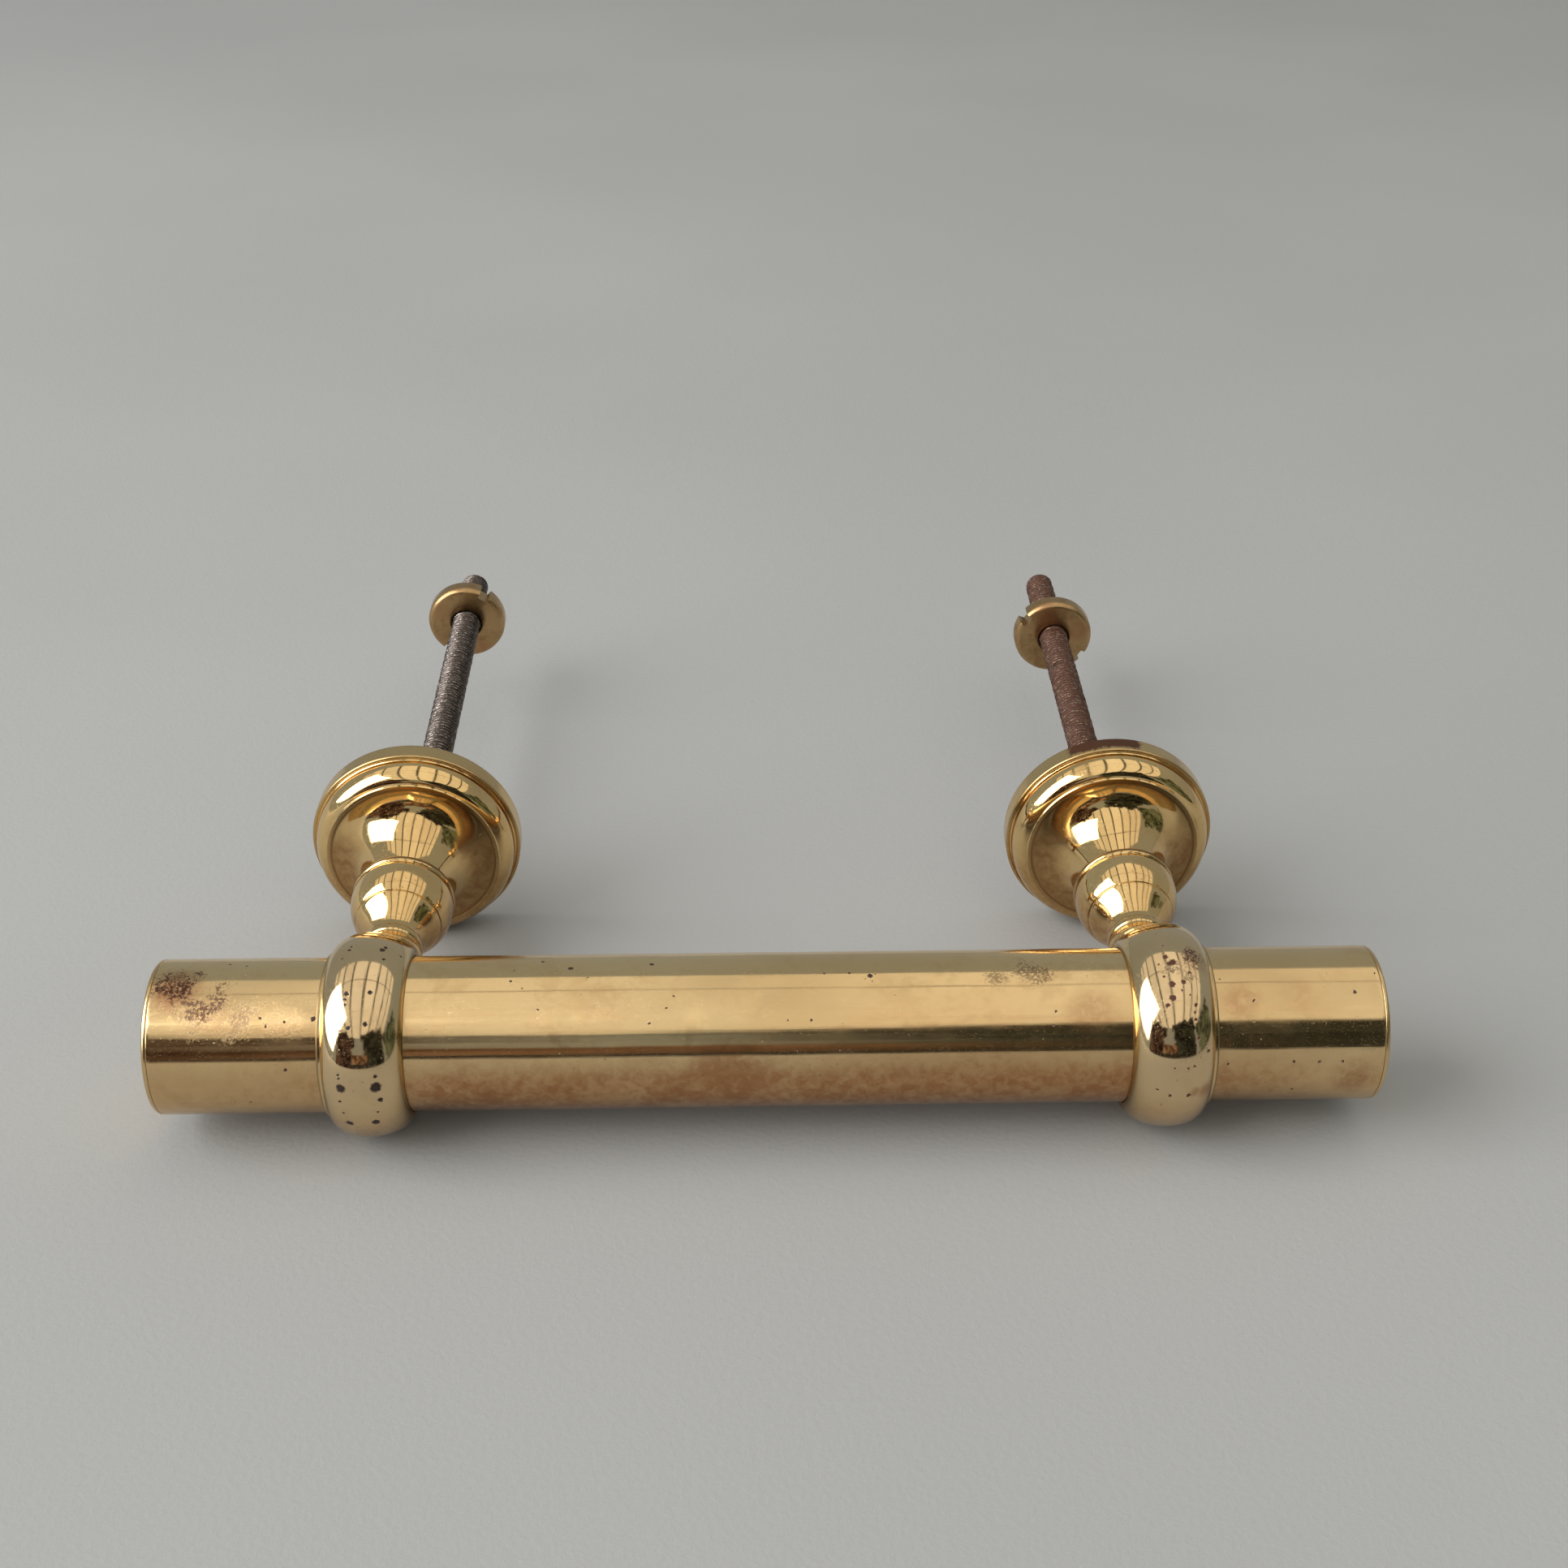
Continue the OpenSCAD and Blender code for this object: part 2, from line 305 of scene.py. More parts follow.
class Graph:
    """Short calls for building a node material."""

    def __init__(self, name):
        self.material = bpy.data.materials.new(name)
        self.material.use_nodes = True
        self.tree = self.material.node_tree
        self.tree.nodes.clear()
        self.out = self.tree.nodes.new("ShaderNodeOutputMaterial")

    def put(self, socket, value):
        if isinstance(value, Value):
            self.tree.links.new(value.socket, socket)
        elif isinstance(value, tuple) and len(value) == 3 and socket.type == "RGBA":
            socket.default_value = (*value, 1)
        else:
            socket.default_value = value

    def add(self, kind, inputs, output=0, **settings):
        node = self.tree.nodes.new(kind)
        for key, value in settings.items():
            setattr(node, key, value)
        for key, value in inputs.items():
            self.put(node.inputs[key], value)
        return Value(self, node.outputs[output])

    def finish(self, shader):
        self.put(self.out.inputs[0], shader)
        return self.material

    def math(self, operation, *terms):
        return self.add("ShaderNodeMath", dict(enumerate(terms)), operation=operation)

    def larger(self, a, b):
        return self.math("MAXIMUM", a, b)

    def clamp(self, value, least, most):
        return self.larger(self.math("MINIMUM", value, most), least)

    def hypot(self, a, b):
        return self.math("SQRT", a * a + b * b)

    def vec(self, operation, a, b):
        return self.add("ShaderNodeVectorMath", {0: a, 1: b}, "Vector", operation=operation)

    def scale(self, vector, by):
        inputs = {0: vector, "Scale": by}
        return self.add("ShaderNodeVectorMath", inputs, "Vector", operation="SCALE")

    def distance(self, a, b):
        return self.add("ShaderNodeVectorMath", {0: a, 1: b}, "Value", operation="DISTANCE")

    def millimetres(self):
        return self.scale(self.add("ShaderNodeTexCoord", {}, "Object"), 1000.0)

    def split(self, vector):
        node = self.tree.nodes.new("ShaderNodeSeparateXYZ")
        self.put(node.inputs[0], vector)
        return [Value(self, output) for output in node.outputs]

    def join(self, x, y, z):
        return self.add("ShaderNodeCombineXYZ", {0: x, 1: y, 2: z})

    def ramp(self, value, start, end, low=0.0, high=1.0):
        """Goes smoothly from low to high as value goes from start to end."""
        inputs = {0: value, 1: start, 2: end, 3: low, 4: high}
        return self.add("ShaderNodeMapRange", inputs, interpolation_type="SMOOTHSTEP")

    def noise(self, vector, scale, detail, rough, distort=0.0, output=0):
        inputs = {"Vector": vector, "Scale": scale, "Detail": detail, "Roughness": rough,
                  "Distortion": distort}
        return self.add("ShaderNodeTexNoise", inputs, output)

    def cells(self, vector, scale):
        return self.add("ShaderNodeTexVoronoi", {"Vector": vector, "Scale": scale}, "Distance")

    def mix(self, share, a, b):
        return self.add("ShaderNodeMix", {0: share, 6: a, 7: b}, 2, data_type="RGBA")

    def attribute(self, name):
        return self.add("ShaderNodeAttribute", {}, "Fac", attribute_name=name)

    def bump(self, height, strength=1.0, distance=1.0):
        """A height of 1 stands for distance millimetres of relief."""
        inputs = {"Strength": strength, "Distance": distance * MM, "Height": height}
        return self.add("ShaderNodeBump", inputs)

    def metal(self, color, metallic, rough, normal, more=None):
        inputs = {"Base Color": color, "Metallic": metallic, "Roughness": rough,
                  "Normal": normal}
        return self.finish(self.add("ShaderNodeBsdfPrincipled", {**inputs, **(more or {})}))


def scaled(color, by):
    return tuple(by * part for part in color)


def uneven(value, noise, width):
    """Shakes a value by noise, over a band of the given width."""
    return value + (noise - 0.5) * width


def blotchy(g, color, cover, mottled, tint, low, high, start=0.35, end=0.66):
    """Lays tint over color where cover is, with a strength that goes blotchily low to high."""
    return g.mix(cover * g.ramp(mottled, start=start, end=end, low=low, high=high), color, tint)


# ---------------------------------------------------------------- brass

GOLD = (0.83, 0.62, 0.33)
DEEP = (0.62, 0.38, 0.155)
GROOVE_DIRT = (0.16, 0.085, 0.03)
STAIN_BROWN = (0.40, 0.185, 0.085)
WRINKLE_BROWN = (0.11, 0.048, 0.040)
SPOT_BROWN = (0.06, 0.028, 0.026)


def polishing_lines(g, mm, lines):
    """Stretched noise. Y: round a part turned on Y. X: along the grip. R: round a part on X."""
    x, y, z = g.split(mm)
    if lines == "Y":
        stretched = g.join(g.hypot(x, z) * 7.0, y * 7.0, x * 0.12)
    elif lines == "X":
        stretched = g.join(x * 0.05, y * 4.0, z * 4.0)
    else:
        stretched = g.join(x * 6.0, g.hypot(y, z) * 6.0, z * 0.12)
    return g.noise(stretched, scale=1.0, detail=3, rough=0.6)


def hairlines(g, mm, fine):
    """Thin broken scratches, where a stretched noise crosses its middle value."""
    stretched = g.vec("MULTIPLY", mm, (0.5, 1.9, 0.9))
    off = abs(g.noise(stretched, scale=0.9, detail=2, rough=0.5, distort=1.2) - 0.5)
    return g.ramp(off, start=0.006, end=0.0) * g.ramp(fine, start=0.48, end=0.6)


def pitting(g, mm, broad):
    """Small pits, larger in some areas than in others."""
    shake = g.noise(mm, scale=2.0, detail=2, rough=0.5, output="Color")
    field = g.cells(g.vec("ADD", mm, g.scale(shake, 0.5)), scale=0.75)
    size = g.ramp(broad, start=0.42, end=0.72, low=0.03, high=0.19)
    return g.ramp(field / size, start=1.0, end=0.5)


def dark_spots(g, mm, spots):
    """Spots with slightly uneven edges. spots: (point, radius)."""
    shake = g.noise(mm, scale=2.3, detail=4, rough=0.65, output="Color")
    shake = g.scale(g.vec("SUBTRACT", shake, (0.5, 0.5, 0.5)), 0.85)
    warped = g.vec("ADD", mm, shake)
    return reduce(g.larger, [
        g.ramp(g.distance(warped, point), start=radius * 1.12, end=radius * 0.72)
        for point, radius in spots])


def wrinkle_patches(g, mm, clusters):
    """Patches of fine dark wrinkles. clusters: (point, radius, strength)."""
    layers = []
    for point, radius, strength in clusters:
        wander = g.noise(mm, scale=0.28, detail=3, rough=0.6)
        near = g.ramp(uneven(g.distance(mm, point), wander, width=radius * 1.7),
                      start=radius, end=radius * 0.2)
        field = g.noise(mm, scale=2.2, detail=5, rough=0.68, distort=0.5)
        layers.append(g.ramp(field + near * 0.17, start=0.61, end=0.68) * near * strength)
    return reduce(g.larger, layers)


def brown_stains(g, mm, stains, broad, mottled):
    """Soft brown stains. stains: (point, radius, strength)."""
    layers = []
    for point, radius, strength in stains:
        shaken = uneven(g.distance(mm, point), broad, width=radius * 0.9)
        layers.append(g.ramp(shaken, start=radius, end=radius * 0.2) * strength)
    return reduce(g.larger, layers) * g.ramp(mottled, start=0.25, end=0.6, low=0.35, high=1.0)


def brass(name, gold, deep, shine, haze, lines, pits, dirt=1.0, film=0.25, spots=(),
          clusters=(), stains=(), centre=(0, 0, 0), layer=None, spot_color=SPOT_BROWN,
          brushed=0.0):
    """Polished old brass.

    shine: base roughness; haze, pits, dirt, film: strengths of the dull areas, the pits, the
    dirt in grooves and the brown patches; layer: a part's colour and roughness changes, some
    with painted shade; brushed: how far reflections blur along the grip.
    """
    g = Graph(name)
    mm = g.vec("SUBTRACT", g.millimetres(), tuple(centre))
    drift = g.noise(mm, scale=0.035, detail=2, rough=0.5)
    broad = g.noise(mm, scale=0.11, detail=4, rough=0.6, distort=0.3)
    mottled = g.noise(mm, scale=0.55, detail=5, rough=0.62, distort=0.5)
    fine = g.noise(mm, scale=3.2, detail=4, rough=0.6)
    relief = g.attribute("relief")

    # slow drift, brown patches, dirty grooves and bright worn edges
    dull_gold = tuple(0.72 * a + 0.28 * b for a, b in zip(gold, deep))
    worn_gold = tuple(min(1, 1.08 * part + 0.03) for part in gold)
    color = g.mix(g.ramp(drift, start=0.35, end=0.65), gold, dull_gold)
    patches = g.ramp(broad + mottled * 0.45, start=0.70, end=0.92) * film
    color = g.mix(patches, color, deep)
    groove = g.ramp(uneven(relief, mottled, width=0.7), start=-0.18, end=-0.75) * (0.8 * dirt)
    color = g.mix(groove, color, GROOVE_DIRT)
    color = g.mix(g.ramp(relief, start=0.45, end=1.3) * 0.35, color, worn_gold)

    grain = polishing_lines(g, mm, lines)
    hair = hairlines(g, mm, fine)
    marks = pitting(g, mm, broad) * pits
    if spots:
        marks = g.larger(marks, dark_spots(g, mm, spots))
    if stains:
        stain = brown_stains(g, mm, stains, broad, mottled)
        color = g.mix(stain, color, STAIN_BROWN)
    layer_rough = 0.0
    if layer:
        color, layer_rough = layer(g, mm, color, broad, mottled, fine)
    if clusters:
        wrinkle = wrinkle_patches(g, mm, clusters)
        color = g.mix(wrinkle * 0.9, color, WRINKLE_BROWN)
    color = g.mix(marks * 0.975, color, spot_color)

    # what each layer adds to the roughness
    rough = (shine + g.ramp(broad, start=0.4, end=0.75) * (haze * 0.25) + patches * 0.12
             + groove * 0.3 + (grain - 0.5) * 0.06 + layer_rough + marks * 0.45)
    # depth of each layer in millimetres
    height = grain * 0.0022 + drift * 0.02 + mottled * 0.0018 - hair * 0.004 - marks * 0.05
    if stains:
        rough = rough + stain * 0.12
    if clusters:
        rough = rough + wrinkle * 0.3
        height = height - wrinkle * 0.014

    more = {}
    if brushed:
        # polishing went round the bar, so reflections blur along it
        tangent = g.add("ShaderNodeTangent", {}, direction_type="RADIAL", axis="X")
        more = {"Anisotropic": brushed, "Anisotropic Rotation": 0.25, "Tangent": tangent}
    return g.metal(color, metallic=1.0 - marks * 0.65, rough=g.clamp(rough, 0.03, 0.9),
                   normal=g.bump(height), more=more)


def post_brass(name, x, haze=0.10, **rest):
    """The brighter brass of the posts. x: the post's place along the grip."""
    return brass(name, gold=(0.87, 0.62, 0.29), deep=(0.62, 0.37, 0.14), shine=0.045,
                 haze=haze, lines="Y", centre=(x, 0, 0), **rest)


# ---------------------------------------------------------------- grip tube

# dark spots on the tube: x, angle in degrees (0 front, 90 top), radius
TUBE_SPOTS = [
    (-86.0, 105, 0.26), (-83.2, 102, 0.26), (-79.5, 52, 0.24), (-78.6, 46, 0.22),
    (-75.6, 49, 0.22), (-71.2, 51, 0.44), (-75.6, 14, 0.32), (-82.0, -17, 0.26),
    (-31.5, 93, 0.52), (-18.6, 97, 0.47), (-40.8, 80, 0.26), (-36.1, 103, 0.29),
    (-40.5, 91, 0.19), (-28.7, 83, 0.19), (-38.9, 73, 0.19), (-36.3, 56, 0.20),
    (-16.1, 56, 0.20), (-15.0, 65, 0.19), (-18.8, 45, 0.20), (16.1, 81, 0.43),
    (16.9, 83, 0.18), (15.3, 78, 0.15), (16.4, 76, 0.15), (12.8, 84, 0.21),
    (8.8, 84, 0.19), (6.6, 46, 0.20), (2.9, 46, 0.20), (45.1, 50, 0.23),
    (44.7, 40, 0.20), (92.7, 62, 0.32), (76.5, 56, 0.23), (96.5, 78, 0.23),
    (71.6, 74, 0.21), (76.3, 41, 0.23), (90.5, 10, 0.23), (86.8, 10, 0.23),
    (82.8, 10, 0.23), (72.3, 9, 0.23), (83.4, -18, 0.26), (20.0, 150, 0.3),
    (-50.0, 170, 0.4), (-5.0, -60, 0.35), (33.0, -95, 0.3), (60.0, 200, 0.5),
    (-88.0, 190, 0.4),
]
# wrinkle patches and stains: x, angle, radius, strength
TUBE_CLUSTERS = [
    (-93.0, 76, 6.5, 1.0), (-88.0, 60, 6.5, 0.95), (-83.0, 52, 5.0, 0.7),
    (-76.0, 50, 5.0, 0.3), (42.7, 84, 5.2, 0.6), (36.0, 79, 2.6, 0.5),
    (92.0, 150, 6.0, 0.5), (-20.0, 205, 7.0, 0.5),
]
TUBE_STAINS = [
    (-93.5, 76, 6.0, 0.8), (-87.0, 58, 5.0, 0.35), (51.0, 48, 5.5, 0.45),
    (74.6, 55, 4.5, 0.5), (93.0, -6, 5.0, 0.6), (84.0, 60, 4.0, 0.25),
    (-6.0, -2, 9.0, 0.8), (-14.0, -12, 6.0, 0.6), (-60.0, -8, 6.0, 0.5),
    (24.0, -14, 7.0, 0.35), (-26.0, 59, 6.0, 0.15), (0.0, 180, 14.0, 0.35),
    (-60.0, 230, 12.0, 0.4), (70.0, 160, 10.0, 0.35),
]
# shallow dents: x, angle, width, depth
TUBE_DENTS = [
    (-30, 60, 5, 0.05), (18, 75, 4, 0.04), (41, 80, 3.0, 0.05), (-84, 65, 3.5, 0.05),
    (78, 40, 3.5, 0.05), (52, 20, 6, 0.05), (-8, 30, 7, 0.05),
]
TUBE_WALL = 1.5
TUBE_SEGMENTS = 256
WAVE_SIZE = 0.008           # standard deviation of the tube's waves
SKIN = 0.03                 # the tube lies this far under its full radius, and waves rise by it


def on_grip(x, angle):
    """A point on the tube: angle 0 faces the front, 90 is the top."""
    turn = math.radians(angle)
    return (x, GRIP_Y / MM - TUBE_MM * math.cos(turn), GRIP_Z / MM + TUBE_MM * math.sin(turn))


def grip_layer(g, mm, color, broad, mottled, fine):
    """The lower front of the grip is browner and less polished than the top.

    The brown is partly tarnish and partly painted shade for the shaded floor it reflects.
    """
    x, y, z = g.split(g.vec("SUBTRACT", mm, (0, GRIP_Y / MM, GRIP_Z / MM)))
    low = g.ramp(uneven(z, broad, width=6.0), start=6.5, end=-0.5)
    streak = g.noise(g.join(x * 0.035, y * 0.5, z * 0.5), scale=1.0, detail=4, rough=0.6,
                     distort=0.4)
    copper = g.ramp(streak, start=0.45, end=0.68) * g.ramp(abs(z - 7.0), start=5.0, end=1.5)
    color = g.mix(copper * 0.22, color, (0.66, 0.34, 0.15))
    # painted shade with tarnish: brown on the lower half, weaker towards the ends, where the
    # reflected floor is lighter
    brown = low * g.ramp(mottled + broad * 0.5, start=0.55, end=0.95, low=0.60, high=1.0)
    brown = brown * g.ramp(abs(x - 6.0), start=90.0, end=52.0, low=0.35, high=1.0)
    return g.mix(brown, color, (0.42, 0.20, 0.085)), low * 0.07


def tube_waves(x, turn):
    """The height of the shallow dents and waves of a hand-polished tube."""
    rng = np.random.default_rng(11)
    wave = np.zeros_like(x)
    for _ in range(26):
        along, around = rng.uniform(0.01, 0.09), rng.integers(0, 4)
        wave += rng.uniform(0.3, 1.0) * np.sin(
            2 * math.pi * (along * x + rng.uniform()) + around * turn)
    wave *= WAVE_SIZE / wave.std()
    for dent_x, dent_angle, width, depth in TUBE_DENTS:
        off = np.radians((np.degrees(turn) - dent_angle + 180) % 360 - 180) * TUBE_MM
        wave -= depth * np.exp(-((x - dent_x) ** 2 + off ** 2) / (2 * width * width))
    return wave


def build_tube(material):
    half = (tube_high[0] - tube_low[0]) / 2 / MM
    stations = np.concatenate([
        [-half, -half + 0.05, -half + 0.15], np.linspace(-half + 0.6, half - 0.6, 260),
        [half - 0.15, half - 0.05, half]])
    outer = len(stations)
    edge = np.zeros(outer)
    edge[0] = edge[-1] = 0.07
    edge[1] = edge[-2] = 0.02
    turn = angles(TUBE_SEGMENTS)
    grid_x, grid_turn = np.meshgrid(stations, turn, indexing="ij")
    fade = np.clip((half - np.abs(grid_x)) / 2.0, 0, 1)
    waves = np.minimum(tube_waves(grid_x, grid_turn) * fade, SKIN)
    radii = TUBE_MM - SKIN + waves - edge[:, None]

    # the outside from left to right, then the bore from right to left
    rows = list(zip(stations, radii))
    rows += [(x, np.full(TUBE_SEGMENTS, TUBE_MM - TUBE_WALL)) for x in (half, 0.0, -half)]
    verts = [(x * MM, GRIP_Y - r * MM * math.cos(t), GRIP_Z + r * MM * math.sin(t))
             for x, row in rows for r, t in zip(row, turn)]
    mesh = smooth_mesh("bar_tube", verts, bands(TUBE_SEGMENTS, len(rows)))
    mesh.flip_normals()
    mesh.set_sharp_from_angle(angle=math.radians(50))
    relief = np.zeros((len(rows), TUBE_SEGMENTS))
    relief[0:2] = relief[outer - 2:outer] = 0.9
    add_values(mesh, "relief", relief.ravel())
    place("bar_tube", mesh, "handle", "grip_tube", material)


build_tube(brass(
    "grip brass", GOLD, DEEP, shine=0.13, haze=0.22, lines="X", pits=0.30, brushed=0.95,
    spots=[(on_grip(x, angle), radius) for x, angle, radius in TUBE_SPOTS],
    clusters=[(on_grip(x, angle), radius, power) for x, angle, radius, power in TUBE_CLUSTERS],
    stains=[(on_grip(x, angle), radius, power) for x, angle, radius, power in TUBE_STAINS],
    layer=grip_layer))


# ---------------------------------------------------------------- grip end caps

def cap_profile():
    """A hollow plug inside the tube under a slightly domed disc. Distances run outward."""
    disc_r = TUBE_MM - 0.03
    profile = [(0.0, 4.8), (9.35, 4.8), (9.35, 0), (10.65, 0), (10.95, 0.3), (10.95, 6.02),
               (TUBE_MM - 0.08, 6.02), (disc_r, 6.10)]
    profile += bez((disc_r, 6.10), (disc_r, 6.60), (TUBE_MM - 0.25, 6.82),
                   (TUBE_MM - 0.75, 6.82), steps=12)
    profile += bez((TUBE_MM - 0.75, 6.82), (TUBE_MM - 4, 7.10), (5, 7.22), (0, 7.22), steps=40)
    return profile


def build_cap(word, side):
    low, high = span(f"{word}_end_cap")
    base = (low[0] if side > 0 else high[0], GRIP_Y, GRIP_Z)
    material = brass(
        f"{word} cap brass", GOLD, DEEP, shine=0.12, haze=0.45, lines="R", pits=0.4, film=0.6,
        dirt=0.15, centre=(base[0] / MM, GRIP_Y / MM, 0),
        stains=[((side * 1.0, -6, 5), 8, 0.5), ((side * 1.0, 5, -6), 6, 0.5)])
    lathe(f"bar_cap_{word}", cap_profile(), base, (side, 0, 0), f"{word}_end_cap",
          material, sigma=0.05, segments=256, closed=False)


for word, side in SIDES.items():
    build_cap(word, side)


# ---------------------------------------------------------------- barrel rings

# dark spots on each ring: x from the ring's middle, angle (0 front, 90 top), radius
RING_SPOTS = {
    "left": [
        (-2.3, 94, 0.28), (-2.0, 97, 0.20), (-3.0, 87, 0.16), (2.9, 95, 0.42),
        (3.3, 98, 0.30), (3.4, 87, 0.22), (5.6, 96, 0.16), (-2.6, 113, 0.13),
        (2.2, 114, 0.20), (-1.5, 62, 0.31), (2.1, 63, 0.28), (-1.7, 59, 0.19),
        (-1.6, 56, 0.16), (1.6, 45, 0.25), (-1.0, 43, 0.25), (-2.7, 17, 0.16),
        (-2.7, 15, 0.16), (-2.5, 9, 0.63), (2.9, 9, 0.72), (3.0, 16, 0.25),
        (-2.9, 0, 0.22), (3.4, 0, 0.32), (-2.6, -9, 0.16), (2.7, -9, 0.13),
        (-2.0, -18, 0.51), (2.1, -18, 0.51),
    ],
    "right": [
        (-1.4, 89, 0.26), (-0.4, 76, 0.52), (-1.4, 80, 0.45), (-1.0, 75, 0.45),
        (-2.6, 75, 0.19), (-1.0, 62, 0.57), (0.8, 63, 0.44), (-1.1, 54, 0.57),
        (-2.0, 50, 0.41), (0.4, 58, 0.22), (1.6, 56, 0.16), (-2.1, 67, 0.22),
        (2.0, 69, 0.25), (2.4, 50, 0.28), (2.2, 46, 0.19), (2.3, 42, 0.25),
        (2.7, 32, 0.32), (-1.0, 15, 0.19), (1.1, 15, 0.25), (2.1, 16, 0.19),
        (3.0, 21, 0.13), (4.4, 24, 0.32), (-1.3, -3, 0.32), (1.6, -3, 0.38),
        (-3.3, 0, 0.25), (-2.3, -11, 0.13), (-3.3, 90, 0.13), (-1.8, 102, 0.16),
    ],
}
# wrinkle patches and stains: x, angle, radius, strength
RING_CLUSTERS = {
    "left": [(0.0, -32, 4.0, 0.3)],
    "right": [(2.7, 79, 3.4, 1.0), (-0.4, 72, 2.4, 0.85), (1.6, 66, 1.6, 0.7)],
}
RING_STAINS = {
    "left": [(-1.0, -40, 4.0, 0.3)],
    "right": [(2.6, -1, 1.5, 0.6), (4.3, -2, 1.9, 0.7), (3.2, 78, 3.6, 0.35)],
}
RING_SPOT_COLOR = {"left": (0.022, 0.009, 0.009), "right": (0.085, 0.024, 0.012)}
RING_SPOT_GROWTH = {"left": (1.25, 0.04), "right": (1.0, 0.0)}     # factor, added radius


def ring_layer(g, mm, color, broad, mottled, fine):
    """The ring's two sides and its underside are browner.

    On the underside the brown is partly tarnish and partly painted shade.
    """
    x, _, z = g.split(mm)
    ends = g.ramp(abs(x), start=4.6, end=6.4)
    color = g.mix(ends * 0.35, color, (0.60, 0.45, 0.20))
    # darker towards the bottom: painted shade with tarnish
    low = g.ramp(uneven(z, broad, width=9.0), start=0.0, end=-9.0)
    color = blotchy(g, color, low, mottled, tint=(0.55, 0.35, 0.17), low=0.35, high=0.75,
                    start=0.3, end=0.7)
    return color, g.larger(ends, low) * 0.06


def build_ring(word, side):
    low, high = span(f"{word}_ring")
    centre_x = (low[0] + high[0]) / 2
    half_width = (high[0] - low[0]) / 2 / MM
    crown_r = (high[2] - low[2]) / 2 / MM
    # the crown sits a little outside the middle, and only the outer side has a lip
    bore, lip, crown = TUBE_MM + 0.05, TUBE_MM + 0.7, 0.4
    inner_width, outer_width = half_width + crown, half_width - 0.7 - crown

    def barrel(x):
        """The ring's radius at x from its middle."""
        off = x * side - crown
        edge, width = (bore + 0.1, inner_width) if off < 0 else (lip, outer_width)
        return edge + (crown_r - edge) * math.sqrt(max(0.0, 1 - (off / width) ** 2))

    def on_ring(x, angle):
        turn = math.radians(angle)
        return (x, -barrel(x) * math.cos(turn), barrel(x) * math.sin(turn))

    def marks(table):
        return [(on_ring(x, angle), radius, power) for x, angle, radius, power in table]

    quarter = math.pi / 2
    outward = [crown - inner_width * math.cos(a) for a in np.linspace(0, quarter, 33)]
    outward += [crown - outer_width * math.cos(a)
                for a in np.linspace(quarter, math.pi, 33)[1:]]
    profile = [(bore, -half_width)] + [(barrel(along * side), along) for along in outward]
    profile += [(lip, half_width - 0.15), (lip - 0.2, half_width), (bore, half_width)]

    factor, extra = RING_SPOT_GROWTH[word]
    material = brass(
        f"{word} ring brass", gold=(0.76, 0.575, 0.335), deep=(0.56, 0.38, 0.185),
        shine=0.065, haze=0.15, lines="R", pits=0.30, spot_color=RING_SPOT_COLOR[word],
        spots=[(on_ring(x, angle), factor * r + extra) for x, angle, r in RING_SPOTS[word]],
        clusters=marks(RING_CLUSTERS[word]), stains=marks(RING_STAINS[word]),
        centre=(centre_x / MM, GRIP_Y / MM, GRIP_Z / MM), layer=ring_layer)
    lathe(f"grip_ring_{word}", profile, (centre_x, GRIP_Y, GRIP_Z), (side, 0, 0),
          f"{word}_ring", material, sigma=0.07, segments=256)


for word, side in SIDES.items():
    build_ring(word, side)


# ---------------------------------------------------------------- posts: rose, column, collar

SEAT = REACH / MM - TUBE_MM - 1.7       # front end of the collars
POST_BORE = 3.1
FOOT_INSET = 4                          # the column's foot is this much smaller than the rose
FOOT_DEPTH = 2.2                        # how deep the foot sits in the rose


def dark_patch_on_rose(g, mm, color, fine):
    """A dark red-brown patch at the top of the rose, near its back edge."""
    x, y, z = g.split(mm)
    wander = (g.noise(mm, scale=0.45, detail=3, rough=0.6) - 0.5) * 3.2
    # mask of the dark red-brown patch on the top of the back rim
    rust = (g.ramp(abs(x + 2.0) + wander, start=7.0, end=5.8)
            * g.ramp(y + wander, start=-3.5, end=-2.7))
    rust = rust * (g.ramp(z, start=9.0, end=12.0)
                   * g.ramp(g.hypot(x, z) + wander * 0.3, start=17.2, end=18.4))
    patch_color = g.mix(fine, (0.13, 0.040, 0.026), (0.075, 0.026, 0.020))
    return g.mix(rust * 0.92, color, patch_color), rust


def rose_layer(g, mm, color, broad, mottled, fine):
    """The band at the back of the rose and its underside are browner.

    On the underside the brown is partly tarnish and partly painted shade.
    """
    _, y, z = g.split(mm)
    rim = g.ramp(y, start=-4.4, end=-3.2)
    color = g.mix(rim * 0.45, color, (0.60, 0.43, 0.21))
    # darker towards the bottom: painted shade with tarnish
    under = g.ramp(uneven(z, broad, width=12.0), start=4.0, end=-8.0)
    color = blotchy(g, color, under, mottled, tint=(0.46, 0.27, 0.11), low=0.45, high=0.85)
    return color, rim * 0.10 + under * 0.10


def patched_rose_layer(g, mm, color, broad, mottled, fine):
    color, rough = rose_layer(g, mm, color, broad, mottled, fine)
    # the dark red-brown patch, which is also rougher
    color, rust = dark_patch_on_rose(g, mm, color, fine)
    return color, rough + rust * 0.35


def foot_layer(g, mm, color, broad, mottled, fine):
    """The top of the column's foot stays bright; its sides and bottom are browner.

    That brown is partly a brown film and partly painted shade.
    """
    x, _, z = g.split(mm)
    dish = g.ramp(uneven(g.hypot(x, z), broad, width=5.0), start=8.0, end=11.5)
    under = g.ramp(uneven(z, broad, width=6.0), start=8.5, end=1.0)
    # painted shade with a brown film on the foot's sides and bottom, which are also rougher
    shade_and_film = dish * under
    color = blotchy(g, color, shade_and_film, mottled, tint=(0.37, 0.205, 0.085), low=0.70, high=1.0)
    return color, shade_and_film * 0.30


